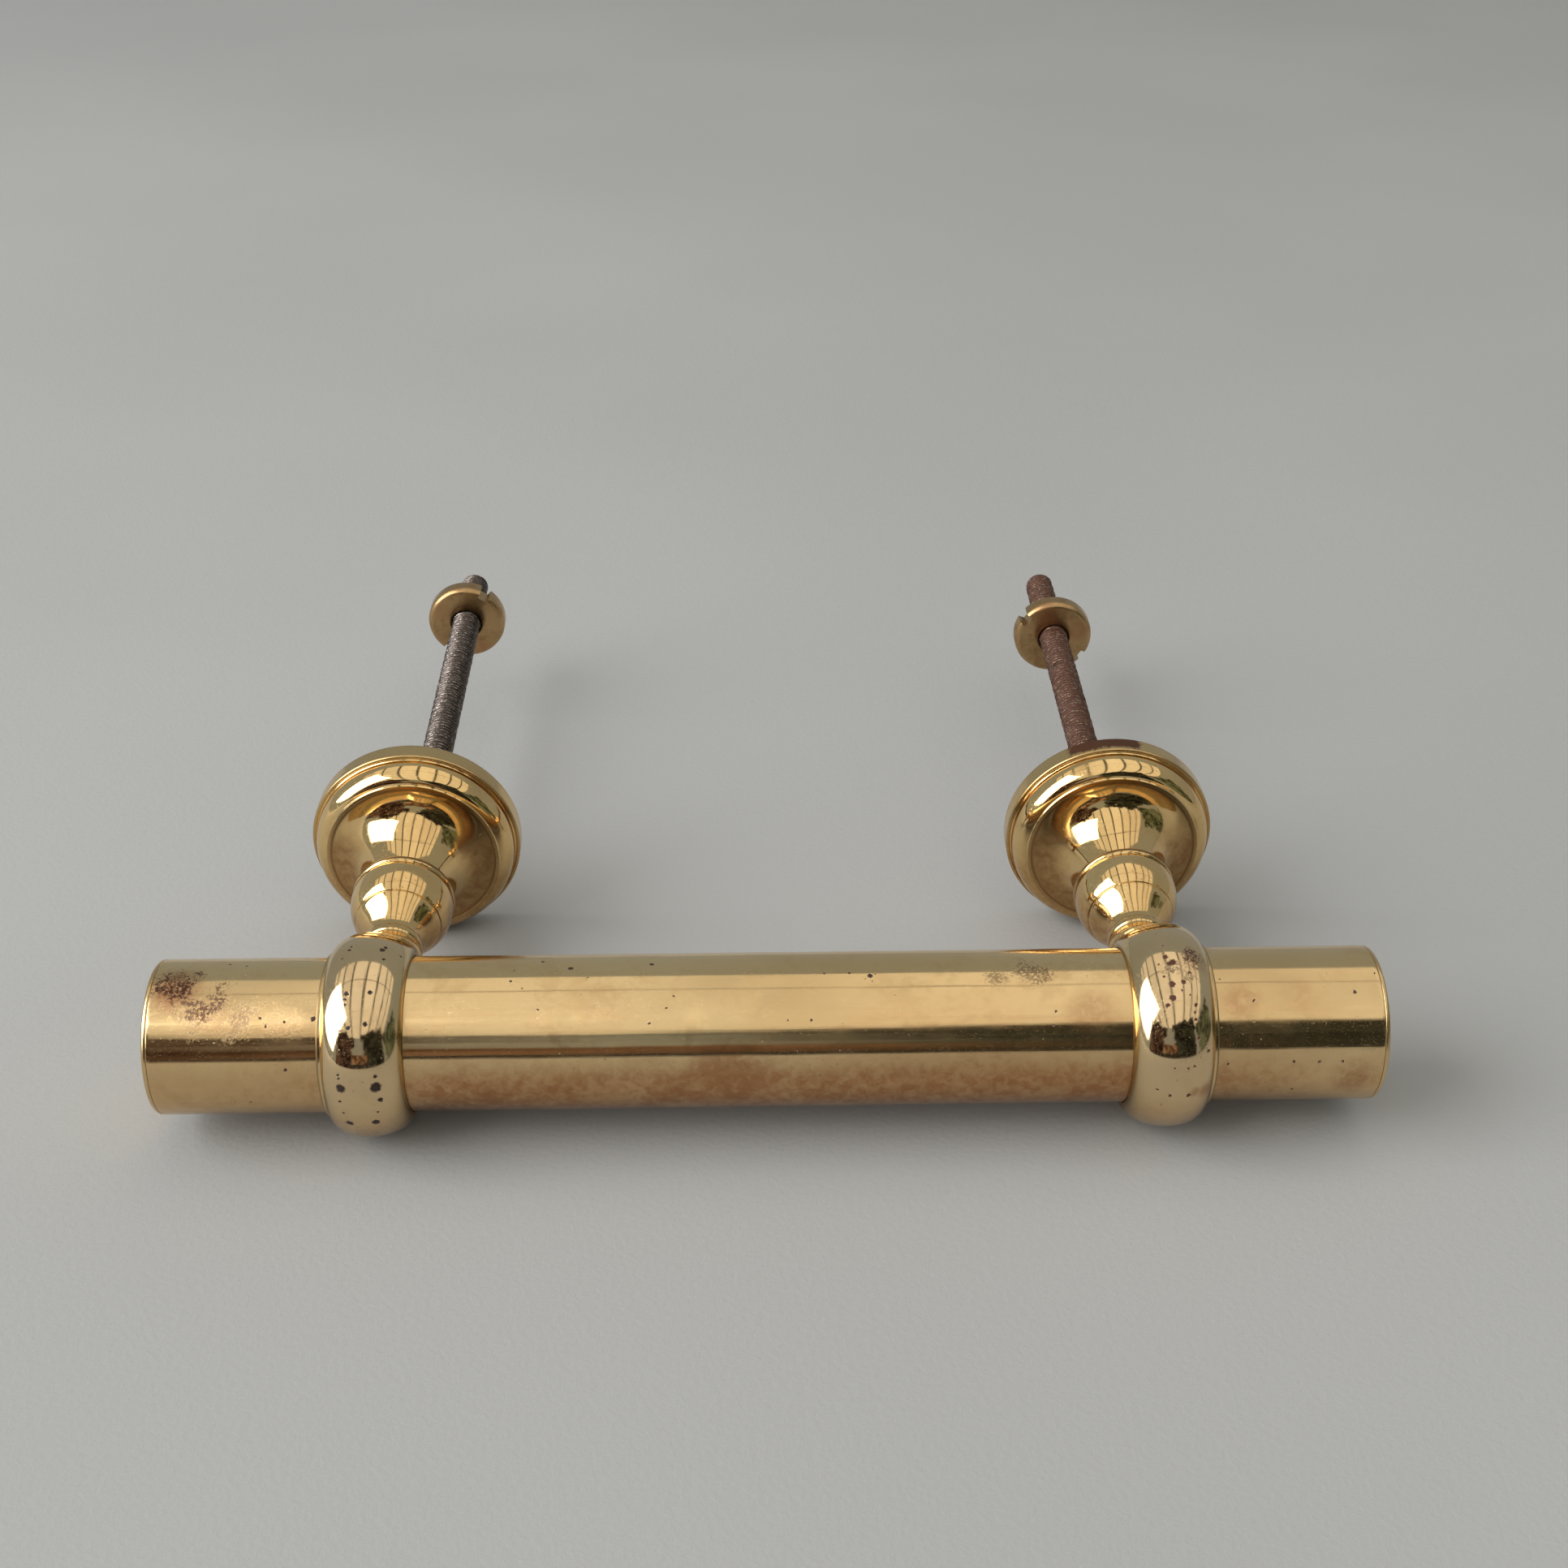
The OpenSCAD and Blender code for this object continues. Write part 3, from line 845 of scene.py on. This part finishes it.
def collar_layer(g, mm, color, broad, mottled, fine):
    """The top stays bright; the sides and the underside are browner.

    That brown is partly tarnish and partly painted shade.
    """
    _, _, z = g.split(mm)
    # darker towards the bottom: painted shade with tarnish
    under = g.ramp(uneven(z, broad, width=6.0), start=5.5, end=-1.5)
    color = blotchy(g, color, under, mottled, tint=(0.46, 0.26, 0.115), low=0.60, high=0.95)
    return color, under * 0.12


def rose_profile(radius, height):
    """A disc with a step, a domed front and a recess for the column's foot."""
    foot_r, foot_at = radius - FOOT_INSET, height - FOOT_DEPTH
    recess_r = foot_r + 0.012
    profile = [(6.6, 0), (radius - 0.3, 0), (radius, 0.3), (radius, 3.4)]
    profile += bez((radius, 3.4), (radius, 3.7), (radius - 0.2, 3.9), (radius - 0.5, 3.9),
                   steps=8)
    profile += [(radius - 0.72, 3.75), (radius - 0.95, 3.95)]
    profile += bez((radius - 0.95, 3.95), (radius - 0.8, 5.7), (radius - 1.4, height - 0.8),
                   (radius - 3.1, height - 0.35), steps=40)
    profile += [(radius - 3.30, height - 0.30), (radius - 3.45, height), (recess_r, height),
                (recess_r, foot_at), (POST_BORE, foot_at), (POST_BORE, 4), (6.6, 4)]
    return profile


def column_profile(rose_r, rose_height, front):
    """A wide foot that sweeps in to a thin stem, with a socket in its front end."""
    foot_r, foot_at = rose_r - FOOT_INSET, rose_height - FOOT_DEPTH
    stem_r, socket_r = 6.4, 4.6
    profile = [(POST_BORE, foot_at + 0.02), (foot_r - 0.3, foot_at + 0.02),
               (foot_r, foot_at + 0.32), (foot_r, rose_height - 0.015)]
    profile += bez((foot_r, rose_height - 0.015), (foot_r - 5.6, rose_height + 0.35),
                   (stem_r + 0.5, rose_height + 4.9), (stem_r, front - 0.2), steps=60)
    profile += [(stem_r, front), (socket_r, front), (socket_r, front - 1.4),
                (POST_BORE, front - 1.4)]
    return profile


def collar_profile(back):
    """From back to front: a spigot, a ribbed cup, a neck, a bead and a round tip."""
    cup_r, neck_r, tip_r = 9.0, 4.5, 5.7
    bead_r = neck_r + 0.35
    profile = [
        (POST_BORE, back - 1.3), (4.3, back - 1.3), (4.55, back - 1.05), (4.55, back + 0.02),
        (cup_r - 0.5, back + 0.02), (cup_r - 0.1, back + 0.35), (cup_r, back + 0.6),
        (cup_r, back + 1.0), (cup_r - 0.15, back + 1.3), (cup_r - 0.35, back + 1.45),
        (cup_r - 0.35, back + 1.6), (cup_r - 0.15, back + 1.75),
    ]
    profile += bez((cup_r - 0.15, back + 1.75), (cup_r + 0.12, back + 4.0),
                   (cup_r - 0.3, back + 6.6), (cup_r - 1.5, back + 8.25), steps=34)
    profile += [(cup_r - 1.68, back + 8.32), (cup_r - 1.66, back + 8.5)]
    profile += bez((cup_r - 1.66, back + 8.5), (cup_r - 2.2, back + 10),
                   (neck_r + 0.1, back + 11.4), (neck_r, back + 13.0), steps=30)
    profile += [(neck_r, back + 14.2)]
    profile += bez((neck_r, back + 14.2), (neck_r + 0.55, back + 14.25),
                   (neck_r + 0.7, back + 14.9), (neck_r + 0.55, back + 15.9), steps=14)
    profile += [(bead_r, back + 16.1), (bead_r, back + 16.3)]
    profile += bez((bead_r, back + 16.3), (neck_r + 0.4, back + 17.3), (tip_r, back + 17.6),
                   (tip_r, back + 19.2), steps=16)
    profile += bez((tip_r, back + 19.2), (tip_r, back + 19.8), (tip_r - 0.2, back + 20.1),
                   (tip_r - 0.4, back + 20.3), steps=10)
    profile += [(tip_r - 0.4, SEAT - 0.01), (POST_BORE, SEAT - 0.01)]
    return profile


def build_post(word):
    """Profiles run forward (-Y) from the back of the rose."""
    low, high = span(f"{word}_rose")
    post_x = (low[0] + high[0]) / 2
    rose_r = (high[0] - low[0]) / 2 / MM
    rose_height = (high[1] - low[1]) / MM
    column_front = -span(f"{word}_column")[0][1] / MM

    def turned(part, profile, material, sigma):
        lathe(f"post_{part}_{word}", profile, (post_x, high[1], 0.0), (0, -1, 0),
              f"{word}_{part}", material, sigma)

    material = post_brass(
        f"{word} rose brass", post_x / MM, pits=0.35, haze=0.30, film=0.35, dirt=0.45,
        layer=patched_rose_layer if word == "right" else rose_layer,
        stains=[((9, -6, -14), 7, 0.4), ((-14, -5, -6), 6, 0.35), ((12, -3, 12), 6, 0.3)])
    turned("rose", rose_profile(rose_r, rose_height), material, sigma=0.04)

    material = post_brass(f"{word} column brass", post_x / MM, pits=0.25, layer=foot_layer)
    turned("column", column_profile(rose_r, rose_height, column_front),
           material, sigma=0.02)

    material = post_brass(f"{word} collar brass", post_x / MM, pits=0.20, layer=collar_layer)
    turned("collar", collar_profile(column_front), material, sigma=0.035)


for word in SIDES:
    build_post(word)


# ---------------------------------------------------------------- steel

def steel(name, base, rust, glint, rust_amount, shine, crust=0.03, specks=0.5):
    """Rusting steel. The vertex value crest is 1 on thread crests and 0 in the roots.

    crust: height of the rust's texture; specks: strength of the bright worn specks.
    """
    g = Graph(name)
    crest = g.attribute("crest")
    mm = g.millimetres()
    broad = g.noise(mm, scale=0.16, detail=4, rough=0.62, distort=0.4)
    mottled = g.noise(mm, scale=1.5, detail=5, rough=0.62, distort=0.3)
    fine = g.noise(mm, scale=5.0, detail=4, rough=0.6)
    glitter = g.noise(mm, scale=1.9, detail=3, rough=0.6, distort=0.3)

    color = g.mix(g.ramp(mottled, start=0.38, end=0.62), base, scaled(base, 0.74))
    rusty = g.ramp(broad * 0.8 + mottled * 0.5 + crest * -0.12,
                   start=0.78 - 0.34 * rust_amount, end=0.95 - 0.30 * rust_amount) * 0.95
    rust_tint = g.mix(g.ramp(fine, start=0.35, end=0.65), rust, scaled(rust, 0.60))
    color = g.mix(rusty, color, rust_tint)
    bright = (g.ramp(crest, start=0.50, end=0.85)
              * g.ramp(glitter, start=0.50, end=0.62) * specks)
    color = g.mix(bright, color, glint)
    roots = g.ramp(crest, start=0.45, end=0.0) * 0.75
    color = g.mix(roots, color, scaled(rust, 0.30))

    rough = shine + rusty * 0.24 - bright * 0.16
    height = mottled * (0.05 + crust * 2) + fine * crust
    return g.metal(color, metallic=1.0 - (rusty - rusty * bright) * 0.62,
                   rough=g.clamp(rough, 0.16, 0.95), normal=g.bump(height, strength=0.9))


# ---------------------------------------------------------------- studs

STUD_SEGMENTS = 64
PITCH = 1.0
STEPS_PER_TURN = 12
THREAD_START = -0.5         # Y where the thread begins
CREST_R, ROOT_R = 3.0, 2.50
SHANK_R = 2.8               # plain front end of the stud
TIP_GAP = 0.04              # from the last ring of the thread to the point at the tip


def turned_row(centre_x, y, radii, turn):
    """A ring of points round a line along Y. y and radii are in millimetres."""
    return [(centre_x + r * MM * math.cos(t), y * MM, r * MM * math.sin(t))
            for r, t in zip(radii, turn)]


def smooth_noise(rng, y, turn, along, around):
    """Waves along and round a stud, scaled to a standard deviation of 1."""
    out = np.zeros_like(y)
    for _ in range(24):
        out += rng.uniform(0.4, 1.0) * np.sin(
            2 * math.pi * (rng.uniform(0.2, 1.0) * along * y + rng.uniform())
            + rng.integers(-around, around + 1) * turn)
    return out / out.std()


def build_stud(word, material, clog, seed, dome):
    """clog: how full the thread is; dome: length of the rounded back end."""
    low, high = span(f"{word}_stud")
    centre_x = (low[0] + high[0]) / 2
    front, back = low[1] / MM, high[1] / MM
    ys = np.arange(THREAD_START, back - 1e-6, PITCH / STEPS_PER_TURN)
    ys = np.concatenate([ys[ys < back - TIP_GAP], [back - TIP_GAP]])
    turn = angles(STUD_SEGMENTS)
    grid_y, grid_turn = np.meshgrid(ys, turn, indexing="ij")
    rng = np.random.default_rng(seed)

    # crest: 1 on the thread's crest, 0 in its root
    phase = (grid_y / PITCH - grid_turn / (2 * math.pi)) % 1.0
    crest = np.clip((np.abs(2 * phase - 1) - 0.07) / 0.84, 0, 1)
    crest = 1 - crest * crest * (3 - 2 * crest)
    lumps = smooth_noise(rng, grid_y, grid_turn, along=0.35, around=3)
    fill = np.clip(clog * (0.72 + 0.32 * lumps), 0, 0.92)
    rubbing = smooth_noise(rng, grid_y, grid_turn, along=0.5, around=4)
    worn = np.clip(0.10 + 0.10 * rubbing, 0, 0.4)
    crest = np.maximum(crest * (1 - worn), fill)

    radii = ROOT_R + (CREST_R - ROOT_R) * crest
    end = np.clip((grid_y - (back - dome)) / dome, 0, 1)
    radii = np.minimum(radii, CREST_R * np.sqrt(np.maximum(0.0004, 1 - end ** 2.8)))

    shank = [(front, 2.2), (front + 0.6, SHANK_R), (THREAD_START - 0.25, SHANK_R)]
    verts = [(centre_x, front * MM, 0.0)]
    for y, radius in shank:
        verts += turned_row(centre_x, y, [radius] * STUD_SEGMENTS, turn)
    values = [0.5] * len(verts) + list(crest.ravel()) + [0.9]
    for y, row in zip(ys, radii):
        verts += turned_row(centre_x, y, row, turn)
    tip = len(verts)
    verts.append((centre_x, back * MM, 0.0))

    rows = len(shank) + len(ys)
    last = 1 + (rows - 1) * STUD_SEGMENTS
    faces = [(0, 1 + (i + 1) % STUD_SEGMENTS, 1 + i) for i in range(STUD_SEGMENTS)]
    faces += bands(STUD_SEGMENTS, rows, first=1, closed=False)
    faces += [(last + i, last + (i + 1) % STUD_SEGMENTS, tip) for i in range(STUD_SEGMENTS)]
    mesh = smooth_mesh(f"stud_{word}_thread", verts, faces)
    mesh.flip_normals()
    mesh.set_sharp_from_angle(angle=math.radians(70))
    add_values(mesh, "crest", values)
    place(f"stud_{word}_thread", mesh, "handle", f"{word}_stud", material)


dark_steel = steel(
    "dark stud steel", base=(0.128, 0.106, 0.095), rust=(0.100, 0.056, 0.038),
    glint=(0.62, 0.59, 0.56), rust_amount=0.34, shine=0.24, crust=0.03, specks=0.42)
build_stud("left", dark_steel, clog=0.10, seed=5, dome=0.9)
rusty_steel = steel(
    "rusty stud steel", base=(0.140, 0.078, 0.055), rust=(0.135, 0.058, 0.036),
    glint=(0.66, 0.52, 0.44), rust_amount=1.15, shine=0.25, crust=0.10, specks=0.30)
build_stud("right", rusty_steel, clog=0.60, seed=8, dome=1.3)


# ---------------------------------------------------------------- round slotted nuts

NUT_BORE = 3.05
NUT_FACE_R = 3.55           # where the flat faces begin, outside the bore's chamfer
SLOT_HALF, SLOT_DEPTH = 1.15, 1.4
RIM_STEPS, WALL_STEPS, FLOOR_STEPS = 56, 3, 5
# angle: turn of the slots in degrees; stains: (point, radius, strength)
NUTS = {
    "left": dict(angle=56, stains=[((3, 0, -6), 4.0, 0.6), ((-5, 0, 3), 3.0, 0.5)]),
    "right": dict(angle=145, stains=[((5, 0, 2), 3.5, 0.6), ((-2, 1, 6), 3.0, 0.7)]),
}


def nut_outline(radius, outer):
    """One layer of the nut: two arcs and two parallel-sided slots on the X axis."""
    floor_x = outer - SLOT_DEPTH
    edge_x = math.sqrt(radius ** 2 - SLOT_HALF ** 2)
    gap = math.asin(SLOT_HALF / radius)
    width = edge_x - floor_x
    half = [(edge_x - width * k / WALL_STEPS, -SLOT_HALF) for k in range(WALL_STEPS)]
    half += [(floor_x, -SLOT_HALF + 2 * SLOT_HALF * k / FLOOR_STEPS)
             for k in range(FLOOR_STEPS)]
    half += [(floor_x + width * k / WALL_STEPS, SLOT_HALF) for k in range(WALL_STEPS)]
    half += [(radius * math.cos(a), radius * math.sin(a))
             for a in np.linspace(gap, math.pi - gap, RIM_STEPS + 1)[:-1]]
    return half + [(-x, -z) for x, z in half]


def nut_rows(radius, thick):
    """Rings of (x, y, z) from the front bore edge, round the rim, to the back bore edge."""
    layers = [(radius - 1.1, 0.0)]
    layers += bez((radius - 1.1, 0), (radius - 0.45, 0.10), (radius, 0.65), (radius, 1.45),
                  steps=12)
    round_r = 0.35
    layers += [(radius, 2.2), (radius, thick - round_r)]
    layers += [(radius - round_r + round_r * math.cos(a),
                thick - round_r + round_r * math.sin(a))
               for a in np.linspace(0, math.pi / 2, 7)[1:]]

    def circle(r, y, outline):
        return [(r * x / math.hypot(x, z), y, r * z / math.hypot(x, z)) for x, z in outline]

    def face(y, inward, outline):
        """Rings of one flat face, from the bore outward; inward is +1 or -1 along Y."""
        inner = circle(NUT_FACE_R, y, outline)
        between = [(0.45 * x + 0.55 * p[0], y, 0.45 * z + 0.55 * p[2])
                   for (x, z), p in zip(outline, inner)]
        return [circle(NUT_BORE, y + inward * 0.42, outline),
                circle(3.40, y + inward * 0.07, outline), inner, between]

    rim = [[(x, y, z) for x, z in nut_outline(r, radius)] for r, y in layers]
    front = face(0.0, 1, nut_outline(layers[0][0], radius))
    back = face(thick, -1, nut_outline(layers[-1][0], radius))
    return front + rim + back[::-1]


def build_nut(word, angle, stains):
    low, high = span(f"{word}_nut")
    centre_x = (low[0] + high[0]) / 2
    front = low[1] / MM
    material = brass(
        f"{word} nut brass", gold=(0.50, 0.325, 0.155), deep=(0.28, 0.160, 0.070),
        shine=0.26, haze=0.55, lines="Y", pits=0.55, film=0.75, dirt=1.2,
        centre=(centre_x / MM, front, 0), stains=stains)

    rows = nut_rows((high[0] - low[0]) / 2 / MM, (high[1] - low[1]) / MM)
    count, ring = len(rows), len(rows[0])
    cosine, sine = math.cos(math.radians(angle)), math.sin(math.radians(angle))
    verts = [(centre_x + (x * cosine - z * sine) * MM, (front + y) * MM,
              (x * sine + z * cosine) * MM) for row in rows for x, y, z in row]
    mesh = smooth_mesh(f"nut_{word}_slotted", verts, bands(ring, count))
    # a face at the wall of the first slot decides the winding
    if mesh.polygons[ring * 3 + 10].normal.y > 0:
        mesh.flip_normals()
    mesh.set_sharp_from_angle(angle=math.radians(32))
    relief = np.zeros((count, ring))
    relief[5:14] = 0.9                      # front rounding
    relief[count - 8:count - 4] = 1.0       # back rounding
    relief[1:3] = 0.8                       # front edge of the bore
    add_values(mesh, "relief", relief.ravel())
    nut = place(f"nut_{word}_slotted", mesh, f"{word}_nut_body", f"{word}_nut",
                material)
    bevel = nut.modifiers.new("worn edges", "BEVEL")
    bevel.width, bevel.segments = 0.10 * MM, 2
    bevel.limit_method, bevel.angle_limit = "ANGLE", math.radians(50)
    bevel.harden_normals = False


for word, look in NUTS.items():
    build_nut(word, **look)


# ---------------------------------------------------------------- hexagon jam nuts, inserts

JAM_SEGMENTS = 180
JAM_BORE = 2.86
CHAMFER_ANGLE = 32


def build_jam(word, material):
    low, high = span(f"{word}_jam_nut")
    centre_x = (low[0] + high[0]) / 2
    corner_r = (high[0] - low[0]) / 2 / MM
    flat_r = corner_r * math.cos(math.pi / 6)
    front, back = low[1] / MM, high[1] / MM
    turn = angles(JAM_SEGMENTS)
    hexagon = flat_r / np.cos((turn + math.pi / 6) % (math.pi / 3) - math.pi / 6)
    slope = math.tan(math.radians(CHAMFER_ANGLE))

    # one end, from the bore outward: (radius, depth below the face)
    end = [(JAM_BORE, 0.3), (JAM_BORE + 0.3, 0), (flat_r - 0.25, 0)]
    end += [(np.minimum(hexagon, flat_r - 0.15 + depth / slope), depth)
            for depth in np.linspace(0.02, 0.62, 8)]
    end += [(hexagon, 0.8)]
    rows = [(radius, front + depth) for radius, depth in end]
    rows += [(hexagon, (front + back) / 2)]
    rows += [(radius, back - depth) for radius, depth in reversed(end)]

    verts = []
    for radius, y in rows:
        verts += turned_row(centre_x, y, np.broadcast_to(radius, JAM_SEGMENTS), turn)
    mesh = smooth_mesh(f"jam_nut_{word}_hex", verts, bands(JAM_SEGMENTS, len(rows)))
    mesh.flip_normals()
    mesh.set_sharp_from_angle(angle=math.radians(25))
    add_values(mesh, "crest", [0.8] * len(verts))
    place(f"jam_nut_{word}_hex", mesh, "handle", f"{word}_jam_nut", material)


def finish_insert(word):
    """The frame's own insert stays and gets a brass material."""
    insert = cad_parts[f"{word}_insert"]
    material = brass(
        f"{word} insert brass", gold=(0.55, 0.37, 0.15), deep=(0.35, 0.2, 0.08), shine=0.3,
        haze=0.5, lines="X", pits=0.3, dirt=0.0, film=0.6)
    insert.data.materials.clear()
    insert.data.materials.append(material)


jam_steel = steel(
    "jam nut steel", base=(0.26, 0.25, 0.245), rust=(0.16, 0.085, 0.05),
    glint=(0.55, 0.53, 0.50), rust_amount=0.45, shine=0.36)
for word in SIDES:
    build_jam(word, jam_steel)
    finish_insert(word)


# ---------------------------------------------------------------- floor and room

scene = bpy.context.scene
FLOOR_HALF = 7.0
FLOOR_GAP = 0.00005


def floor_paper():
    """Matt grey paper, see-through from behind."""
    g = Graph("floor paper")
    mm = g.millimetres()
    soft = g.noise(mm, scale=0.004, detail=2, rough=0.5)
    tooth = g.noise(mm, scale=0.9, detail=4, rough=0.6)
    color = g.mix(g.ramp(soft, start=0.3, end=0.7), (0.395, 0.405, 0.413),
                  (0.418, 0.428, 0.436))
    paper = g.add("ShaderNodeBsdfPrincipled", {
        "Base Color": color, "Roughness": 0.9, "Specular IOR Level": 0.2,
        "Normal": g.bump(tooth, strength=0.35, distance=0.25)})
    clear = g.add("ShaderNodeBsdfTransparent", {})
    behind = g.add("ShaderNodeNewGeometry", {}, "Backfacing")
    return g.finish(g.add("ShaderNodeMixShader", {0: behind, 1: paper, 2: clear}))


def square(name, half):
    """A square in its own XY plane, as a new object in the scene."""
    mesh = bpy.data.meshes.new(name)
    corners = [(-half, -half, 0), (half, -half, 0), (half, half, 0), (-half, half, 0)]
    mesh.from_pydata(corners, [], [(0, 1, 2, 3)])
    piece = bpy.data.objects.new(name, mesh)
    scene.collection.objects.link(piece)
    return piece


def build_floor():
    """The handle lies on its two rings and the back edges of its roses."""
    rose_low, rose_high = span("left_rose")
    ring_low, ring_high = span("left_ring")
    ring_r = float(ring_high[2] - ring_low[2]) / 2
    rose_r = float(rose_high[2] - rose_low[2]) / 2
    tilt = math.atan2(rose_r, REACH) - math.asin(ring_r / math.hypot(REACH, rose_r))
    up = Vector((0, math.sin(tilt), math.cos(tilt)))
    touch = Vector((0, GRIP_Y, GRIP_Z)) - ring_r * up
    floor = square("floor", FLOOR_HALF)
    floor.matrix_world = (Matrix.Translation(touch - up * FLOOR_GAP)
                          @ up.to_track_quat("Z", "Y").to_matrix().to_4x4())
    floor.data.materials.append(floor_paper())


def build_world():
    world = bpy.data.worlds.new("room")
    scene.world = world
    world.use_nodes = True
    background = world.node_tree.nodes["Background"]
    background.inputs["Color"].default_value = (0.50, 0.535, 0.53, 1)
    background.inputs["Strength"].default_value = 0.62


build_floor()
build_world()


# ---------------------------------------------------------------- camera

CAMERA_PITCH, CAMERA_YAW, CAMERA_ROLL = 0.5756, 0.0249, 0.0036      # radians
# the frame's origin seen from the camera, in millimetres: right, down, forward
ORIGIN_FROM_CAMERA = (-3.85, 8.17, 379.26)


def turn_z(angle):
    c, s = math.cos(angle), math.sin(angle)
    return np.array([[c, -s, 0], [s, c, 0], [0, 0, 1]])


def build_camera():
    c, s = math.cos(CAMERA_PITCH), math.sin(CAMERA_PITCH)
    pitch = np.array([[1, 0, 0], [0, c, -s], [0, s, c]])
    # from X right, Y forward, Z up to right, down, forward
    to_view = np.array([[1, 0, 0], [0, 0, -1], [0, 1, 0]], float)
    view = turn_z(CAMERA_ROLL) @ pitch @ to_view @ turn_z(CAMERA_YAW)
    eye = -view.T @ np.array(ORIGIN_FROM_CAMERA) * MM
    axes = np.stack([view[0], -view[1], -view[2]], 1)
    data = bpy.data.cameras.new("camera")
    camera = bpy.data.objects.new("camera", data)
    scene.collection.objects.link(camera)
    camera.matrix_world = Matrix([[*axes[i], eye[i]] for i in range(3)] + [[0, 0, 0, 1]])
    data.sensor_width, data.lens = 36.0, 46.633
    data.clip_start, data.clip_end = 0.01, 50.0
    scene.camera = camera


build_camera()
scene.view_settings.view_transform = "Standard"
scene.view_settings.look = "None"


# ---------------------------------------------------------------- light cards

AIM = (0.0, GRIP_Y, 0.0)


def slatted(g, u, slats, strength):
    """Boards of slightly different brightness with dark gaps between them."""
    board = g.math("PINGPONG", u * slats, 0.5)
    first_board = 0.0
    number = g.math("FLOOR", u * slats + first_board)
    tone = g.noise(g.join(number * 7.3, 1.7, 0.4), scale=1.0, detail=1, rough=0.5)
    return (g.ramp(board, start=0.045, end=0.100, low=0.08, high=1.0)
            * g.ramp(tone, start=0.25, end=0.75, low=0.74 * strength, high=1.12 * strength))


def card_material(name, size, strength, color, slats, wander):
    g = Graph(name)
    light = strength
    if slats or wander:
        u, v, _ = g.split(g.scale(g.millimetres(), 0.001))
    if slats:
        light = slatted(g, u, slats, strength)
    if wander:
        flat = g.join(u * (size[0] * 7), v * (size[1] * 7), 0.37)
        drift = g.noise(flat, scale=1.0, detail=4, rough=0.6, distort=0.6)
        off = uneven(g.larger(abs(u), abs(v)), drift, width=wander)
        inside = g.ramp(off, start=0.45, end=0.43)
        light = g.ramp(drift, start=0.40, end=0.66, low=0.35, high=2.2) * strength
    shader = g.add("ShaderNodeEmission", {"Color": color, "Strength": light})
    if wander:
        clear = g.add("ShaderNodeBsdfTransparent", {})
        shader = g.add("ShaderNodeMixShader", {0: inside, 1: clear, 2: shader})
    return g.finish(shader)


def card(name, centre, size, strength, color, target=AIM, slats=None, wander=None):
    """A flat soft light or a plain dark card, hidden from the camera but not from the metal.

    slats: number of boards across. wander: how far the edges wander, as a share of the card,
    with slow light and dark drift inside. Cards weaker than 0.5 show in reflections only.
    """
    piece = square(name, 0.5)
    facing = (Vector(target) - Vector(centre)).normalized().to_track_quat("Z", "Y")
    piece.matrix_world = (Matrix.Translation(centre) @ facing.to_matrix().to_4x4()
                          @ Matrix.Diagonal((size[0], size[1], 1, 1)))
    piece.data.materials.append(card_material(name, size, strength, color, slats, wander))
    piece.visible_camera = False
    if strength < 0.5:
        piece.visible_diffuse = piece.visible_shadow = False


card("ceiling", centre=(0.0, -0.7, 2.0), size=(5.0, 4.4), target=(0.0, -0.7, 0.0),
     strength=0.95, color=(1.0, 0.94, 0.83), slats=8)
card("beam", centre=(0.0, 0.37, 1.97), size=(5.0, 0.035), target=(0.0, 0.37, 0.0),
     strength=0.12, color=(1.0, 0.8, 0.6))
card("window", centre=(-1.62, -0.52, 1.12), size=(1.75, 1.75), strength=5.0,
     color=(1.0, 0.985, 0.95))
card("dark_front", centre=(0.33, -0.95, 0.34), size=(0.74, 0.90), strength=0.030,
     color=(0.80, 0.85, 0.70), wander=0.32)
card("brown_front", centre=(-0.50, -0.90, 0.29), size=(0.66, 0.82), strength=0.060,
     color=(1.0, 0.60, 0.50), wander=0.55)
card("low_front", centre=(-0.09, -0.97, 0.035), size=(0.40, 0.13), strength=0.04,
     color=(0.9, 0.8, 0.7))
card("copper_front", centre=(-0.08, -0.98, 0.19), size=(0.40, 0.20), strength=0.22,
     color=(1.0, 0.60, 0.40), wander=0.5)
card("right_side", centre=(1.05, -0.55, 0.30), size=(1.05, 0.80), strength=0.10,
     color=(0.85, 1.0, 0.70), wander=0.5)
